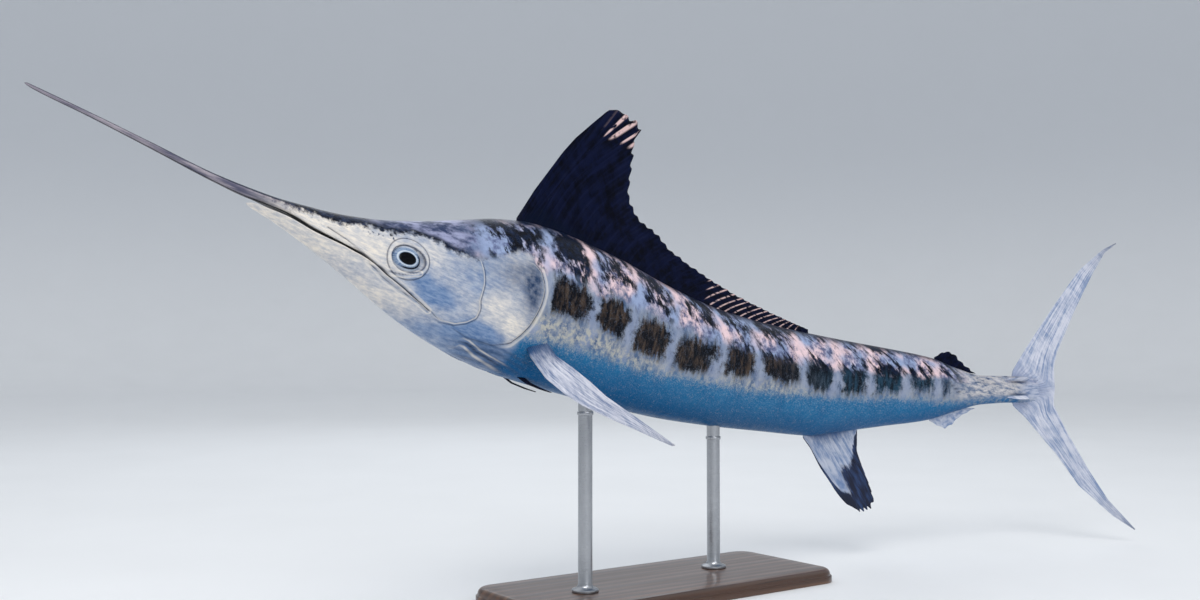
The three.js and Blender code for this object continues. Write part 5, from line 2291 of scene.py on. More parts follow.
@dataclass(frozen=True)
class RayGroup:
    """The rays of a fin as fine lines that part towards the edge."""

    name: str = "fin_rays"
    width: float = 0.2
    part_at: float = 0.22
    fork: Span = (0.5, 0.85)
    joints: float = 60.0
    joint_edge: float = 0.18

    def build(self) -> bpy.types.NodeTree:
        """Make the group: fan and reach in, ray and cross segments out.

        Returns:
            The group.
        """
        inputs = {"Fan": 0.0, "Reach": 0.0, "Width": self.width}
        tree = new_group(self.name, inputs, ("Ray", "Joint"), placed=False)
        g = Graph(tree)
        source = g.node("NodeGroupInput").outputs
        whole = g.math("PINGPONG", source["Fan"], 0.5)
        parted = g.away(whole, self.part_at)
        fork = g.smooth(source["Reach"], *self.fork)
        single = g.math("MULTIPLY", whole, g.math("SUBTRACT", 1.0, fork))
        total = g.math("MULTIPLY_ADD", parted, fork, single)
        ratio = g.math("DIVIDE", total, source["Width"])
        inner = g.math("SUBTRACT", 1.0, ratio, clamp=True)
        joints = g.math("PINGPONG", g.math("MULTIPLY", source["Reach"], self.joints), 0.5)
        ray, joint = g.smooth(inner, 0.0, 1.0), g.smooth(joints, 0.0, self.joint_edge)
        g.set(g.node("NodeGroupOutput"), ray=ray, joint=joint)
        return tree


@dataclass(frozen=True)
class Groups:
    """The node groups that several materials share."""

    speckle: bpy.types.NodeTree
    scales: bpy.types.NodeTree
    rays: bpy.types.NodeTree


def new_material(name: str) -> tuple[bpy.types.Material, Graph, bpy.types.Node]:
    """Make a material with a Principled shader joined to its output.

    Args:
        name: the material's name.

    Returns:
        The material, its graph and its shader.
    """
    material = bpy.data.materials.new(name)
    material.use_nodes = True
    g = Graph(material.node_tree)
    shader = g.node("ShaderNodeBsdfPrincipled")
    g.set(g.node("ShaderNodeOutputMaterial"), surface=shader.outputs["BSDF"])
    return material, g, shader


@dataclass(frozen=True)
class Blotches:
    """The row of dark blotches along the side, and the light bars between them.

    along and upward are how far the noises push the blotches about, coarse ones first.
    """

    drift: Grain = Grain(9.0, 2.0, 0.5)
    fringe: Grain = streak((130.0, 60.0, 22.0), 4.0, 0.62)
    fringe_amount: float = 2.2
    along: Triple = (0.5, 0.3, 0.7)
    upward: tuple[float, float] = (1.2, 0.9)
    tall: Span = (2.0, 0.35)
    wide: Span = (0.56, 0.16)
    light: Span = (0.30, 0.48)
    cover: tuple[float, ...] = (0.0, 0.8, -0.4, 1.3)
    softness: float = 1.35

    def draw(
        self, g: Graph, groups: Groups, place: Socket, wander: Socket, small: Socket
    ) -> tuple[Socket, Socket, Socket]:
        """Add the blotches to a graph.

        Args:
            g: the graph.
            groups: the shared node groups.
            place: the place on the straight fish.
            wander: coarse noise about 0.
            small: fine noise about 0.

        Returns:
            The blotches' cover, the light bars' cover and the height in the row.
        """
        drift = self.drift.swing(g, place)
        shifts = [g.times(*pair) for pair in zip((wander, small, drift), self.along)]
        near_bar = g.math("PINGPONG", g.add(g.field("bars"), *shifts), 0.5)
        shifts = [g.times(*pair) for pair in zip((wander, small), self.upward)]
        level = g.add(g.field("row"), *shifts, drift)
        fringe = g.times(self.fringe.swing(g, place), self.fringe_amount)
        tall = g.smooth(g.add(g.math("ABSOLUTE", level), fringe), *self.tall)
        cover = g.times(g.times(g.smooth(near_bar, *self.wide), tall), g.field("zone"))
        cover = g.smooth(cover, *self.cover)
        grain = g.use(groups.speckle, place=place, cover=cover, softness=self.softness)
        return grain["Grain"], g.smooth(near_bar, *self.light), level


@dataclass(frozen=True)
class Back:
    """The dark back with its pearly dapples, which lean more towards the tail; the dapples are partly
    its own marks and partly painted caustic light.
    """

    front: Grain = streak((52.0, 34.0, 32.0), 7.0, 0.70, 0.35)
    rear: Grain = streak((76.0, 38.0, 34.0), 7.0, 0.70, 0.9)
    rear_from: Span = (0.5, 0.66)
    strength: Grain = Grain(11.0, 2.0, 0.5)
    strength_amount: float = 0.35
    band_at: float = 1.9
    band: tuple[float, ...] = (1.2, 0.2, 0.0, 0.09)
    light: Span = (0.48, 0.58)
    fine: Grain = Grain(75.0, 4.0, 0.65)
    dark: Ramp = Ramp(0.4, 0.7, (0, 3, 16), (14, 30, 58))
    cloud: Grain = Grain(16.0, 2.0, 0.5)
    pink: Ramp = Ramp(0.42, 0.6, (150, 166, 200), (236, 208, 212))
    sheen: Grain = Grain(85.0, 4.0, 0.65)
    sheen_span: Span = (0.34, 0.62)
    pearl: Colour = (84, 92, 128)
    light_amount: float = 0.95
    bar_amount: float = 0.9
    bar_dapple: Span = (0.32, 0.52)
    top: Span = (0.91, 0.985)
    top_amount: float = 0.8
    top_colour: Colour = (6, 20, 44)

    def draw(self, g: Graph, place: Socket, bar: Socket, level: Socket) -> Socket:
        """Add the back to a graph.

        Args:
            g: the graph.
            place: the place on the straight fish.
            bar: the light bars' cover.
            level: the height in the row of blotches.

        Returns:
            The colour.
        """
        front, rear = self.front.draw(g, place), self.rear.draw(g, place)
        behind = g.smooth(g.field("share"), *self.rear_from)
        # The dapples are partly the back's own marks and partly painted caustic light from the water's
        # surface.
        dapple_and_caustic = g.add(g.times(front, g.math("SUBTRACT", 1.0, behind)), g.times(rear, behind))
        band = g.smooth(g.away(level, self.band_at), *self.band)
        strength = g.times(self.strength.swing(g, place), self.strength_amount)
        light = g.smooth(g.add(dapple_and_caustic, band, strength), *self.light)
        dark = self.dark.over(g, self.fine.draw(g, place))
        pink = self.pink.over(g, self.cloud.draw(g, place))
        sheen = g.smooth(self.sheen.draw(g, place), *self.sheen_span)
        pearl = g.mix(sheen, srgb(self.pearl), pink)
        colour = g.mix(g.times(light, self.light_amount), dark, pearl)
        bars = g.times(g.times(bar, self.bar_amount), g.smooth(dapple_and_caustic, *self.bar_dapple))
        colour = g.mix(bars, colour, pink)
        top = g.times(g.smooth(g.field("rise"), *self.top), self.top_amount)
        return g.tint(top, colour, self.top_colour)


@dataclass(frozen=True)
class Stalk:
    """The crinkled skin of the tail's stalk, with partly painted highlights on its crinkles and
    painted shade in their hollows, and the smoother root of the tail.
    """

    crinkle: Grain = streak((60.0, 60.0, 150.0), 6.0, 0.7, 0.8)
    shine: Ramp = Ramp(0.36, 0.62, (100, 116, 142), (200, 196, 196))
    hollow_shade: Span = (0.42, 0.34)
    hollow_shade_rise: Span = (0.5, 0.95)
    hollow_shade_colour: Colour = (30, 44, 74)
    below: Span = (0.4, 0.1)
    below_colour: Colour = (48, 104, 152)
    sinew: Grain = streak((30.0, 90.0, 260.0), 5.0, 0.62)
    fan: Ramp = Ramp(0.36, 0.6, (112, 130, 164), (180, 186, 204))

    def draw(self, g: Graph, place: Socket, rise: Socket) -> Socket:
        """Add the stalk to a graph.

        Args:
            g: the graph.
            place: the place on the straight fish.
            rise: the height from the belly at 0 to the back at 1.

        Returns:
            The colour.
        """
        # The pale end of the crinkle ramp is partly painted highlight, and the crinkles' hollows get
        # painted shade.
        crinkle = self.crinkle.draw(g, place)
        hollow_shade = g.times(g.smooth(crinkle, *self.hollow_shade), g.smooth(rise, *self.hollow_shade_rise))
        colour = g.tint(hollow_shade, self.shine.over(g, crinkle), self.hollow_shade_colour)
        colour = g.tint(g.smooth(rise, *self.below), colour, self.below_colour)
        return g.mix(g.field("fan_root"), colour, self.fan.over(g, self.sinew.draw(g, place)))


@dataclass(frozen=True)
class Belly:
    """The blue flank and belly, partly a painted reflection of the water and darker towards the
    bottom, with fine painted glints that fade downwards.
    """

    cloud: Grain = Grain(30.0, 5.0, 0.65)
    flank_dark: Colour = (4, 80, 130)
    flank_light: Colour = (40, 118, 164)
    below: Span = (0.24, 0.02)
    below_colour: Colour = (6, 82, 132)
    glint: Grain = streak((260.0, 420.0, 420.0), 3.0, 0.6)
    glint_span: Span = (0.50, 0.64)
    glint_rise: tuple[float, ...] = (0.08, 0.5, 0.05, 0.45)
    glint_colour: Colour = (150, 178, 198)

    def draw(self, g: Graph, place: Socket, rise: Socket) -> Socket:
        """Add the belly to a graph.

        Args:
            g: the graph.
            place: the place on the straight fish.
            rise: the height from the belly at 0 to the back at 1.

        Returns:
            The colour.
        """
        colour = g.tint(self.cloud.draw(g, place), srgb(self.flank_dark), self.flank_light)
        colour = g.tint(g.smooth(rise, *self.below), colour, self.below_colour)
        glint = g.smooth(self.glint.draw(g, place), *self.glint_span)
        return g.tint(g.times(glint, g.smooth(rise, *self.glint_rise)), colour, self.glint_colour)


@dataclass(frozen=True)
class BodyColours:
    """The colours behind the head: back, blotches, silver side, and blue belly."""

    blotches: Blotches = Blotches()
    back: Back = Back()
    stalk: Stalk = Stalk()
    belly: Belly = Belly()
    wander: Grain = Grain(24.0, 4.0, 0.6)
    small: Grain = Grain(110.0, 4.0, 0.65)
    brushed: Grain = streak((70.0, 40.0, 28.0), 4.0, 0.62)
    silver: Ramp = Ramp(0.3, 0.7, (74, 96, 130), (144, 152, 166))
    bar_amount: float = 0.55
    bar_colour: Colour = (152, 162, 186)
    columns: Grain = streak((100.0, 60.0, 34.0), 6.0, 0.68)
    brown: Ramp = Ramp(0.44, 0.64, (3, 6, 16), (68, 56, 48))
    teal: Ramp = Ramp(0.40, 0.62, (2, 12, 24), (30, 60, 80))
    teal_from: Span = (0.56, 0.70)
    above: Span = (0.62, 0.72)
    above_wander: float = 0.22
    above_small: float = 0.10
    above_stalk: float = 0.85
    edge_wander: float = 0.35
    edge_cover: tuple[float, ...] = (0.0, 1.0, -0.15, 1.2)
    edge_softness: float = 1.1
    cream_span: Span = (-0.1, 0.12)
    cream: Colour = (178, 176, 168)
    lower: Span = (-0.9, -2.0)

    def draw(self, g: Graph, groups: Groups, place: Socket) -> Socket:
        """Add the body's colours to a graph.

        Args:
            g: the graph.
            groups: the shared node groups.
            place: the place on the straight fish.

        Returns:
            The colour.
        """
        rise, stalk = g.field("rise"), g.field("stalk")
        wander, small = self.wander.swing(g, place), self.small.swing(g, place)
        blotch, bar, level = self.blotches.draw(g, groups, place, wander, small)
        silver = self.silver.over(g, self.brushed.draw(g, place))
        silver = g.tint(g.times(bar, self.bar_amount), silver, self.bar_colour)
        silver = g.mix(stalk, silver, self.stalk.draw(g, place, rise))
        columns = self.columns.draw(g, place)
        rear = g.smooth(g.field("share"), *self.teal_from)
        dark = g.mix(rear, self.brown.over(g, columns), self.teal.over(g, columns))
        side = g.mix(blotch, silver, dark)
        above = g.add(rise, g.times(wander, self.above_wander), g.times(small, self.above_small))
        off_stalk = g.math("SUBTRACT", 1.0, g.times(stalk, self.above_stalk))
        above = g.times(g.smooth(above, *self.above), off_stalk)
        colour = g.mix(above, side, self.back.draw(g, place, bar, level))
        edge = g.add(g.field("silver"), g.times(wander, self.edge_wander))
        edge = g.smooth(edge, *self.edge_cover)
        grain = g.use(groups.speckle, place=place, cover=edge, softness=self.edge_softness)
        cream = g.tint(g.smooth(small, *self.cream_span), silver, self.cream)
        lower = g.mix(grain["Grain"], self.belly.draw(g, place, rise), cream)
        return g.mix(g.smooth(level, *self.lower), colour, lower)


@dataclass(frozen=True)
class HeadColours:
    """The cream and blue cheeks, the blue partly a painted sheen, the dark crown with hazy forehead
    patches that are partly painted sheen, and the horn of the bill.
    """

    brushed: Grain = streak((74.0, 120.0, 260.0), 6.0, 0.64, 0.9)
    cream: Ramp = Ramp(0.26, 0.74, (182, 184, 190), (238, 228, 214))
    blue: Ramp = Ramp(0.26, 0.74, (80, 112, 156), (136, 156, 186))
    cloud: Grain = Grain(46.0, 7.0, 0.72)
    cloud_amount: float = 0.6
    cover: Span = (0.14, 0.92)
    dim: Grain = Grain(90.0, 4.0, 0.65)
    dim_span: tuple[float, ...] = (0.3, 0.65, 0.6, 1.0)
    shade: Colour = (34, 56, 88)
    ragged: Grain = Grain(90.0, 5.0, 0.7)
    crown_ragged: float = 0.016
    crown: Span = (-0.0012, 0.003)
    fringe: Grain = streak((120.0, 160.0, 260.0), 4.0, 0.65, 0.5)
    dark: Ramp = Ramp(0.4, 0.72, (2, 8, 24), (44, 56, 84))
    haze: Grain = streak((28.0, 60.0, 60.0), 5.0, 0.65)
    hazy: Ramp = Ramp(0.4, 0.62, (38, 52, 86), (150, 154, 184))
    fleck: Grain = Grain(230.0, 3.0, 0.6, (1.0, 1.0, 1.6))
    fleck_span: Span = (0.60, 0.68)
    fleck_colour: Colour = (52, 66, 92)
    fibre: Grain = streak((12.0, 140.0, 140.0), 4.0, 0.6)
    horn: Ramp = Ramp(0.35, 0.65, (84, 84, 104), (164, 156, 164))
    ridge_ragged: float = 0.8
    ridge: Span = (0.35, 0.65)
    ridge_colour: Colour = (10, 24, 50)

    def draw(self, g: Graph, place: Socket) -> Socket:
        """Add the head's colours to a graph.

        Args:
            g: the graph.
            place: the place on the straight fish.

        Returns:
            The colour.
        """
        brushed = self.brushed.draw(g, place)
        cover = g.add(g.field("cream"), g.times(self.cloud.swing(g, place), self.cloud_amount))
        cover = g.smooth(cover, *self.cover)
        # The blue is partly the cheeks' own colour and partly a painted sheen.
        colour = g.mix(cover, self.blue.over(g, brushed), self.cream.over(g, brushed))
        dim = g.smooth(self.dim.draw(g, place), *self.dim_span)
        # Painted shade from the shade patches.
        colour = g.tint(g.times(g.field("shade"), dim), colour, self.shade)
        ragged = self.ragged.swing(g, place)
        crown = g.smooth(g.add(g.field("crown"), g.times(ragged, self.crown_ragged)), *self.crown)
        dark = self.dark.over(g, self.fringe.draw(g, place))
        # The forehead's pale hazy patches are partly painted sheen.
        hazy = self.hazy.over(g, self.haze.draw(g, place))
        colour = g.mix(crown, colour, g.mix(g.field("forehead"), dark, hazy))
        fleck = g.smooth(self.fleck.draw(g, place), *self.fleck_span)
        colour = g.tint(g.times(fleck, g.field("fleck")), colour, self.fleck_colour)
        horn = self.horn.over(g, self.fibre.draw(g, place))
        ridge = g.add(g.field("bill_ridge"), g.times(ragged, self.ridge_ragged))
        horn = g.tint(g.smooth(ridge, *self.ridge), horn, self.ridge_colour)
        return g.mix(g.field("bill_part"), colour, horn)


@dataclass(frozen=True)
class Stroke:
    """A line drawn beside a distance field: its middle, half its width and its strength.

    It shows where the field named by part does, or everywhere without one.
    """

    field: str
    centre: float
    half: float
    strength: float = 1.0
    part: str = ""

    def draw(self, g: Graph) -> Socket:
        """Add the line to a graph.

        Args:
            g: the graph.

        Returns:
            The line's cover.
        """
        factors = [g.band(g.field(self.field), self.centre, self.half)]
        if self.part:
            factors.append(g.field(self.part))
        if self.strength != 1.0:
            factors.append(self.strength)
        return g.times(*factors)


@dataclass(frozen=True)
class HeadStrokes:
    """Painted shade as dark lines along the grooves, and the pale rims, of the head's plates, lids and
    lips.
    """

    dark: tuple[Stroke, ...] = (
        Stroke("gill_away", -0.0011, 0.0017, part="gill_rear"),
        Stroke("gill_away", -0.0011, 0.0016, 0.5, "gill_under"),
        Stroke("cheek_away", -0.0022, 0.0016, 0.7, "cheek_rear"),
        Stroke("fold_away", 0.0, 0.0016, 0.85),
        Stroke("isthmus_away", 0.0, 0.0022, part="isthmus_deep"),
        Stroke("eye_reach", 1.02, 0.06, 0.9),
        Stroke("lid_reach", 1.03, 0.055, 0.8),
    )
    pale: tuple[Stroke, ...] = (
        Stroke("gill_away", 0.0024, 0.0018, 0.6, "gill_rear"),
        Stroke("gill_away", -0.0050, 0.0030, 0.65, "gill_rear"),
        Stroke("cheek_away", 0.0006, 0.0018, 0.9, "cheek_rear"),
        Stroke("fold_away", 0.0034, 0.0018, 0.7),
        Stroke("isthmus_away", 0.0042, 0.0018, 0.9, "isthmus_deep"),
        Stroke("eye_reach", 1.14, 0.1, 0.6),
        Stroke("lip_away", 0.0016, 0.0016, 0.6, "lip_part"),
    )
    crease: float = 0.9

    def draw(self, g: Graph) -> tuple[Socket, Socket]:
        """Add the lines to a graph.

        Args:
            g: the graph.

        Returns:
            The cover of the dark lines and of the pale ones.
        """
        dark = [stroke.draw(g) for stroke in self.dark]
        # Painted shade in the tail's crease and painted shadow lines above the keels.
        dark.append(g.times(g.field("crease"), self.crease))
        pale = [stroke.draw(g) for stroke in self.pale]
        return tuple(g.math("MULTIPLY", g.add(*lines), 1.0, clamp=True) for lines in (dark, pale))


@dataclass(frozen=True)
class SkinFinish:
    """Wet skin: dark dappled back, a row of dark blotches, silver bars and a blue belly, with painted
    shade in the grooves, the tail's crease, the throat's folds, the nostrils and the mouth.
    """

    groups: Groups
    body: BodyColours = BodyColours()
    head: HeadColours = HeadColours()
    strokes: HeadStrokes = HeadStrokes()
    stroke_amount: float = 0.85
    # Colour of the painted shade along the head's grooves and in the tail's crease.
    dark: Colour = (28, 40, 66)
    pale: Colour = (222, 216, 208)
    nostril_shade: Colour = (34, 44, 62)
    # Colour of the painted shade in the throat's fold valleys.
    fold: Colour = (44, 66, 98)
    fold_shade_amount: float = 0.5
    # Colour of the painted shade inside the mouth.
    mouth: Colour = (20, 24, 34)
    mouth_shade_span: Span = (0.0, 0.5)
    wear: Grain = Grain(130.0, 3.0, 0.6)
    roughness: tuple[float, ...] = (0.2, 0.8, 0.26, 0.44)
    coat: float = 0.05
    coat_roughness: float = 0.12
    specular: float = 0.08
    dents: Grain = Grain(22.0, 3.0, 0.5)
    dents_tall: float = 1.5
    rims_tall: float = 1.5
    grooves_tall: float = -2.5
    bump: float = 0.0004
    bump_strength: float = 0.7

    def build(self) -> bpy.types.Material:
        """Make the material.

        Returns:
            The fish's skin.
        """
        material, g, shader = new_material("marlin_skin")
        place = g.vector_field("place")
        head, body = self.head.draw(g, place), self.body.draw(g, self.groups, place)
        dark, pale = self.strokes.draw(g)
        colour = g.mix(g.field("behind_head"), head, body)
        # Painted shade along the head's grooves, in the tail's crease and above the keels.
        colour = g.tint(g.times(dark, self.stroke_amount), colour, self.dark)
        colour = g.tint(g.times(pale, self.stroke_amount), colour, self.pale)
        # Painted shade in the nostril pits.
        colour = g.tint(g.field("nostril_shade"), colour, self.nostril_shade)
        # Painted shade in the valleys of the throat's folds.
        colour = g.tint(g.times(g.field("fold"), self.fold_shade_amount), colour, self.fold)
        # Painted shade inside the mouth, by depth.
        colour = g.tint(g.smooth(g.field("mouth"), *self.mouth_shade_span), colour, self.mouth)
        scales = g.use(self.groups.scales, place=place)["Height"]
        dents = g.times(self.dents.draw(g, place), self.dents_tall)
        rims, grooves = g.times(pale, self.rims_tall), g.times(dark, self.grooves_tall)
        relief = g.add(dents, scales, rims, grooves)
        g.set(
            shader,
            base_color=colour,
            roughness=g.smooth(self.wear.draw(g, place), *self.roughness),
            coat_weight=self.coat,
            coat_roughness=self.coat_roughness,
            specular_ior_level=self.specular,
            normal=g.bump(relief, self.bump, self.bump_strength),
        )
        return material


@dataclass(frozen=True)
class FinFinish:
    """Fin skin stretched over rays, in a web, a far web, a ray and a root colour."""

    skin: FinSkin
    groups: Groups
    web: Colour
    far_web: Colour
    ray: Colour
    root: Colour
    ray_share: float = 0.5
    specular: float = 0.3
    fan_scale: float = 0.9
    reach_scale: float = 3.5
    streaks: Grain = Grain(1.0, 5.0, 0.6)
    streaks_share: float = 0.6
    mottle: Grain = streak((70.0, 40.0, 40.0), 5.0, 0.65, 0.6)
    web_span: Span = (0.38, 0.60)
    ray_span: tuple[float, ...] = (0.35, 0.62, 0.3, 1.0)
    dashes: Grain = streak((1.1, 3.0, 1.0), 3.0, 0.6)
    dash_span: Span = (0.40, 0.52)
    pale_span: Span = (0.15, 0.6)
    pale: Colour = (214, 184, 182)
    dusk_mottle: float = 0.9
    dusk_span: Span = (0.35, 0.65)
    dusk: Ramp = Ramp(0.4, 0.7, (4, 14, 42), (36, 60, 104))
    root_mottle: float = 0.2
    root_span: Span = (0.2, 0.02)
    roughness: tuple[float, ...] = (0.2, 0.8, 0.34, 0.5)
    coat: float = 0.03
    coat_roughness: float = 0.15
    joint_tall: float = 0.15
    skin_grain: Grain = Grain(160.0, 3.0, 0.6)
    skin_tall: float = 0.5
    bump: float = 0.0005
    bump_strength: float = 0.5

    def _colour(self, g: Graph, streaks: Socket, mottle: Socket, grid: Socket, ray: Socket) -> Socket:
        """Add the fin's colours to a graph.

        Args:
            g: the graph.
            streaks: noise drawn out along the rays.
            mottle: noise over the fin.
            grid: the place across and along the rays.
            ray: the rays' cover.

        Returns:
            The colour.
        """
        uneven = g.math("SUBTRACT", mottle, 0.5)
        blend = g.add(g.times(streaks, self.streaks_share), g.times(mottle, 1 - self.streaks_share))
        web = g.tint(g.smooth(blend, *self.web_span), srgb(self.web), self.far_web)
        amount = g.times(ray, g.smooth(streaks, *self.ray_span))
        colour = g.tint(g.times(amount, self.ray_share), web, self.ray)
        dashes = g.smooth(self.dashes.draw(g, grid), *self.dash_span)
        pale = g.times(g.smooth(g.field("pale_ray"), *self.pale_span), dashes)
        colour = g.tint(pale, colour, self.pale)
        dusk = g.add(g.field("dusk"), g.times(uneven, self.dusk_mottle))
        colour = g.mix(g.smooth(dusk, *self.dusk_span), colour, self.dusk.over(g, streaks))
        root = g.add(g.field("reach"), g.times(uneven, self.root_mottle))
        # On the side fins the root colour is painted shadow where the fin meets the body.
        return g.tint(g.smooth(root, *self.root_span), colour, self.root)

    def build(self) -> bpy.types.Material:
        """Make the material.

        Returns:
            The fin's skin.
        """
        material, g, shader = new_material(self.skin.value)
        place = g.vector_field("place")
        reach, fan = g.field("reach"), g.field("fan")
        rays = g.use(self.groups.rays, fan=fan, reach=reach)
        grid = g.join(g.times(fan, self.fan_scale), g.times(reach, self.reach_scale))
        streaks, mottle = self.streaks.draw(g, grid), self.mottle.draw(g, place)
        ridges = g.math("MULTIPLY_ADD", rays["Ray"], 1.0, g.times(rays["Joint"], self.joint_tall))
        relief = g.math("MULTIPLY_ADD", self.skin_grain.draw(g, place), self.skin_tall, ridges)
        g.set(
            shader,
            base_color=self._colour(g, streaks, mottle, grid, rays["Ray"]),
            roughness=g.smooth(mottle, *self.roughness),
            coat_weight=self.coat,
            coat_roughness=self.coat_roughness,
            specular_ior_level=self.specular,
            normal=g.bump(relief, self.bump, self.bump_strength),
        )
        return material


@dataclass(frozen=True)
class EyeFinish:
    """A wet eye: black pupil, silver-blue iris with fine radial threads, a bright ring round the pupil
    that is partly painted highlight, dark outer ring.

    Each ring holds its distance from the middle in pupils, and where it fades.
    """

    pupil: tuple[float, float] = (0.0130, 0.0082)
    pupil_edge: Span = (1.0, 0.93)
    black: Colour = (2, 3, 8)
    spoke_scale: float = 9.0
    spoke_away: float = 0.8
    threads: Grain = Grain(1.6, 4.0, 0.7)
    iris: Ramp = Ramp(0.3, 0.7, (72, 100, 140), (158, 174, 194))
    ring: Triple = (1.12, 0.14, 0.04)
    ring_amount: float = 0.7
    ring_colour: Colour = (212, 220, 226)
    band: Triple = (1.5, 0.2, 0.06)
    band_from: Span = (0.0, 0.012)
    band_colour: Colour = (6, 12, 28)
    white: Span = (1.62, 1.74)
    white_dark: Colour = (150, 164, 186)
    white_light: Colour = (214, 218, 224)
    roughness: tuple[float, ...] = (0.9, 1.1, 0.12, 0.3)
    coat: float = 0.25
    coat_roughness: float = 0.02
    specular: float = 0.05
    bump: float = 0.0003
    bump_strength: float = 0.3

    def build(self) -> bpy.types.Material:
        """Make the material.

        Returns:
            The eye's surface.
        """
        material, g, shader = new_material("wet_eye")
        gaze = g.vector_field("gaze")
        pupils = g.scaled(gaze, (1 / self.pupil[0], 1 / self.pupil[1], 0.0))
        away = g.node("ShaderNodeVectorMath", pupils, operation="LENGTH").outputs["Value"]
        x, y, _ = g.split(gaze)
        turn = g.math("ARCTAN2", y, x)
        spokes = g.join(
            g.times(g.math("COSINE", turn), self.spoke_scale),
            g.times(g.math("SINE", turn), self.spoke_scale),
            g.times(away, self.spoke_away),
        )
        thread = self.threads.draw(g, spokes)
        centre, outer, inner = self.ring
        # A bright ring round the pupil: partly the iris's own pale ring, partly painted highlight.
        ring = g.times(g.smooth(g.away(away, centre), outer, inner), self.ring_amount)
        colour = g.tint(ring, self.iris.over(g, thread), self.ring_colour)
        centre, outer, inner = self.band
        rear = g.smooth(g.math("SUBTRACT", x, y), *self.band_from)
        band = g.times(g.smooth(g.away(away, centre), outer, inner), rear)
        colour = g.tint(band, colour, self.band_colour)
        white = g.tint(thread, srgb(self.white_dark), self.white_light)
        colour = g.mix(g.smooth(away, *self.white), colour, white)
        g.set(
            shader,
            base_color=g.tint(g.smooth(away, *self.pupil_edge), colour, self.black),
            roughness=g.smooth(away, *self.roughness),
            coat_weight=self.coat,
            coat_roughness=self.coat_roughness,
            specular_ior_level=self.specular,
            normal=g.bump(thread, self.bump, self.bump_strength),
        )
        return material


@dataclass(frozen=True)
class WoodFinish:
    """Dark lacquered wood with grain along the board."""

    warp: Grain = streak((3.0, 55.0, 55.0), 5.0, 0.6)
    ring_stretch: Triple = (0.6, 10.0, 10.0)
    ring_scale: float = 1.4
    ring_distortion: float = 7.0
    ring_detail: float = 3.0
    rings: Ramp = Ramp(0.1, 0.9, (56, 36, 25), (104, 70, 46))
    warp_span: Span = (0.3, 0.7)
    warp_colour: Colour = (72, 46, 31)
    pores: Grain = streak((12.0, 420.0, 420.0), 2.0, 0.5)
    pore_span: Span = (0.60, 0.70)
    pore_amount: float = 0.6
    pore_colour: Colour = (28, 17, 12)
    roughness: tuple[float, ...] = (0.2, 0.8, 0.26, 0.42)
    coat: float = 0.4
    coat_roughness: float = 0.1
    bump: float = 0.0002
    bump_strength: float = 0.35

    def build(self) -> bpy.types.Material:
        """Make the material.

        Returns:
            The wood.
        """
        material, g, shader = new_material("dark_wood")
        place = g.node("ShaderNodeTexCoord").outputs["Object"]
        warp = self.warp.draw(g, place)
        rings = g.node("ShaderNodeTexWave", wave_type="BANDS", bands_direction="Y")
        g.set(rings, vector=g.scaled(place, self.ring_stretch), scale=self.ring_scale)
        g.set(rings, distortion=self.ring_distortion, detail=self.ring_detail)
        pores = g.smooth(self.pores.draw(g, place), *self.pore_span)
        colour = self.rings.over(g, rings.outputs["Color"])
        colour = g.tint(g.smooth(warp, *self.warp_span), colour, self.warp_colour)
        g.set(
            shader,
            base_color=g.tint(g.times(pores, self.pore_amount), colour, self.pore_colour),
            roughness=g.smooth(warp, *self.roughness),
            coat_weight=self.coat,
            coat_roughness=self.coat_roughness,
            normal=g.bump(g.math("SUBTRACT", warp, pores), self.bump, self.bump_strength),
        )
        return material


@dataclass(frozen=True)
class SteelFinish:
    """Brushed stainless steel, scratched round the rod."""

    brushed: Grain = streak((60.0, 60.0, 2600.0), 3.0, 0.6)
    cloud: Grain = Grain(20.0, 3.0, 0.6)
    dark: Colour = (150, 153, 158)
    light: Colour = (184, 186, 190)
    roughness: tuple[float, ...] = (0.2, 0.8, 0.22, 0.42)
    bump: float = 0.0001
    bump_strength: float = 0.25

    def build(self) -> bpy.types.Material:
        """Make the material.

        Returns:
            The steel.
        """
        material, g, shader = new_material("brushed_steel")
        place = g.node("ShaderNodeTexCoord").outputs["Object"]
        brushed = self.brushed.draw(g, place)
        g.set(
            shader,
            base_color=g.tint(self.cloud.draw(g, place), srgb(self.dark), self.light),
            roughness=g.smooth(brushed, *self.roughness),
            metallic=1.0,
            normal=g.bump(brushed, self.bump, self.bump_strength),
        )
        return material


@dataclass(frozen=True)
class PaleFinish:
    """A matt pale floor with a very faint mottle, darker where it rises into a wall."""

    mottle: Grain = Grain(3.0, 4.0, 0.6)
    dark: Colour = (232, 233, 235)
    light: Colour = (238, 239, 241)
    wall_heights: Span = (0.1, 2.6)
    wall: Colour = (208, 211, 216)
    roughness: tuple[float, ...] = (0.2, 0.8, 0.6, 0.75)

    def build(self) -> bpy.types.Material:
        """Make the material.

        Returns:
            The floor's surface.
        """
        material, g, shader = new_material("pale_floor")
        place = g.node("ShaderNodeTexCoord").outputs["Object"]
        mottle = self.mottle.draw(g, place)
        pale = g.tint(mottle, srgb(self.dark), self.light)
        wall = g.smooth(g.split(place)[2], *self.wall_heights)
        rough = g.smooth(mottle, *self.roughness)
        g.set(shader, base_color=g.tint(wall, pale, self.wall), roughness=rough)
        return material


def dress(piece: bpy.types.Object, material: bpy.types.Material) -> None:
    """Give a piece its one material."""
    piece.data.materials.append(material)


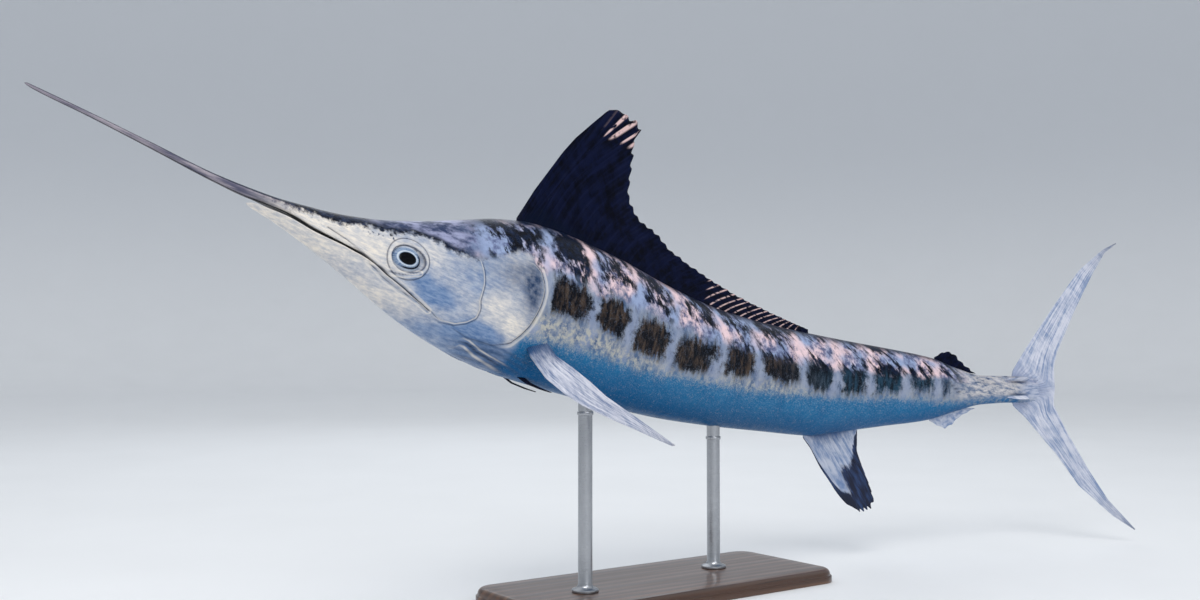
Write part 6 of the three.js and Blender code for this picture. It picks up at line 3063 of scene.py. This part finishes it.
@dataclass(frozen=True)
class Lamp:
    """A soft square lamp that faces the fish's middle."""

    name: str
    place: Triple
    size: float
    power: float
    colour: Triple
    aim: Triple = (0.0, 0.0, 0.42)

    def build(self) -> None:
        """Add the lamp."""
        data = bpy.data.lights.new(self.name, "AREA")
        data.energy = self.power
        data.size = self.size
        data.color = self.colour
        holder = bpy.data.objects.new(self.name, data)
        bpy.context.scene.collection.objects.link(holder)
        holder.location = self.place
        x, y, z = np.subtract(self.aim, self.place)
        tilt, heading = math.atan2(math.hypot(x, y), -z), math.atan2(y, x)
        holder.rotation_euler = (tilt, 0.0, heading - math.pi / 2)


@dataclass
class Studio:
    """The plain pale floor, soft lights and the camera at the photo's angle."""

    camera_at: Triple = (-1.2294, -1.5311, 0.3986)
    looks_along: tuple[float, float] = (0.586, 0.810)
    tilt: float = math.radians(2.08)
    lens: float = 36.12
    sensor: float = 36.0
    floor_half: float = 8.0
    floor_hole: float = 0.001
    wall_round: float = 3.0
    wall_tall: float = 6.0
    wall_steps: int = 24
    around: int = 72
    lamps: tuple[Lamp, ...] = (
        Lamp("key", (-1.6, -1.8, 3.2), 2.0, 58.0, (1.0, 0.98, 0.95)),
        Lamp("fill", (-0.6, -4.6, 2.4), 2.6, 42.0, (0.96, 0.98, 1.0)),
        Lamp("rim", (1.4, 2.6, 2.6), 2.4, 18.0, (0.92, 0.96, 1.0)),
    )
    sky: tuple[float, ...] = (0.92, 0.96, 1.0, 1.0)
    sky_strength: float = 0.8

    def _floor(self) -> None:
        """Make the round floor, which curves up into a wall on every side."""
        turn = np.linspace(0.0, math.pi / 2, self.wall_steps)
        flat = [self.floor_hole, self.floor_half / 2]
        out = np.concatenate([flat, self.floor_half + self.wall_round * np.sin(turn)])
        up = np.concatenate([[0.0, 0.0], self.wall_round * (1 - np.cos(turn))])
        out, up = np.append(out, out[-1])[:, None], np.append(up, self.wall_tall)[:, None]
        a = np.linspace(0.0, 2 * math.pi, self.around, endpoint=False)
        points = np.stack([out * np.cos(a), out * np.sin(a), up + 0 * a], -1)
        piece = new_object("floor", points, grid_faces(len(out), self.around).tolist())
        dress(piece, PaleFinish().build())

    def _camera(self) -> None:
        """Set the scene's camera."""
        data = bpy.data.cameras.new("camera")
        data.lens = self.lens
        data.sensor_width = self.sensor
        viewer = bpy.data.objects.new("camera", data)
        bpy.context.scene.collection.objects.link(viewer)
        viewer.location = self.camera_at
        heading = -math.atan2(*self.looks_along)
        viewer.rotation_euler = (math.pi / 2 + self.tilt, 0.0, heading)
        bpy.context.scene.camera = viewer

    def build(self) -> None:
        """Set up the floor, lights, sky and camera."""
        self._floor()
        for lamp in self.lamps:
            lamp.build()
        world = bpy.data.worlds.new("soft_sky")
        bpy.context.scene.world = world
        world.use_nodes = True
        background = world.node_tree.nodes["Background"].inputs
        background["Color"].default_value = self.sky
        background["Strength"].default_value = self.sky_strength
        bpy.context.scene.view_settings.view_transform = "Standard"
        self._camera()


def fin_finishes(groups: Groups) -> list[FinFinish]:
    """Name the colours of every fin: web, far web, ray and root.

    Args:
        groups: the shared node groups.

    Returns:
        The finishes.
    """
    pale, side, tail = FinSkin.PALE, FinSkin.SIDE, FinSkin.TAIL
    night, dusk, slate, ink = (0, 2, 14), (6, 14, 42), (26, 32, 66), (4, 14, 36)
    return [
        FinFinish(FinSkin.DARK, groups, night, dusk, slate, ink, ray_share=0.25, specular=0.05),
        FinFinish(pale, groups, (104, 128, 168), (182, 188, 204), (204, 208, 220), (52, 86, 130)),
        # The side fin's root colour is painted shadow at its root.
        FinFinish(side, groups, (116, 130, 162), (212, 212, 222), (224, 226, 234), (36, 70, 112)),
        FinFinish(tail, groups, (118, 138, 174), (206, 208, 220), (222, 224, 232), (150, 160, 186)),
    ]


def main() -> None:
    """Build the fish, its stand and the studio."""
    logging.basicConfig(level=logging.INFO)
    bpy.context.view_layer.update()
    groups = Groups(SpeckleGroup().build(), ScaleGroup().build(), RayGroup().build())
    dress(FishSkin().build(), SkinFinish(groups).build())
    fin_skins = {finish.skin: finish.build() for finish in fin_finishes(groups)}
    for fin in all_fins():
        dress(fin.build(), fin_skins[fin.skin])
    for side in Side:
        for rise in Rise:
            dress(Keel(side, rise).build(), fin_skins[FinSkin.TAIL])
    eye = EyeFinish().build()
    for side in Side:
        dress(Eye(side).build(), eye)
    dress(StandBase().build(), WoodFinish().build())
    steel = SteelFinish().build()
    for node, share in (("stand_rod_front", 0.36), ("stand_rod_rear", 0.53)):
        dress(StandRod(node, share).build(), steel)
    Studio().build()


if __name__ == "__main__":
    main()
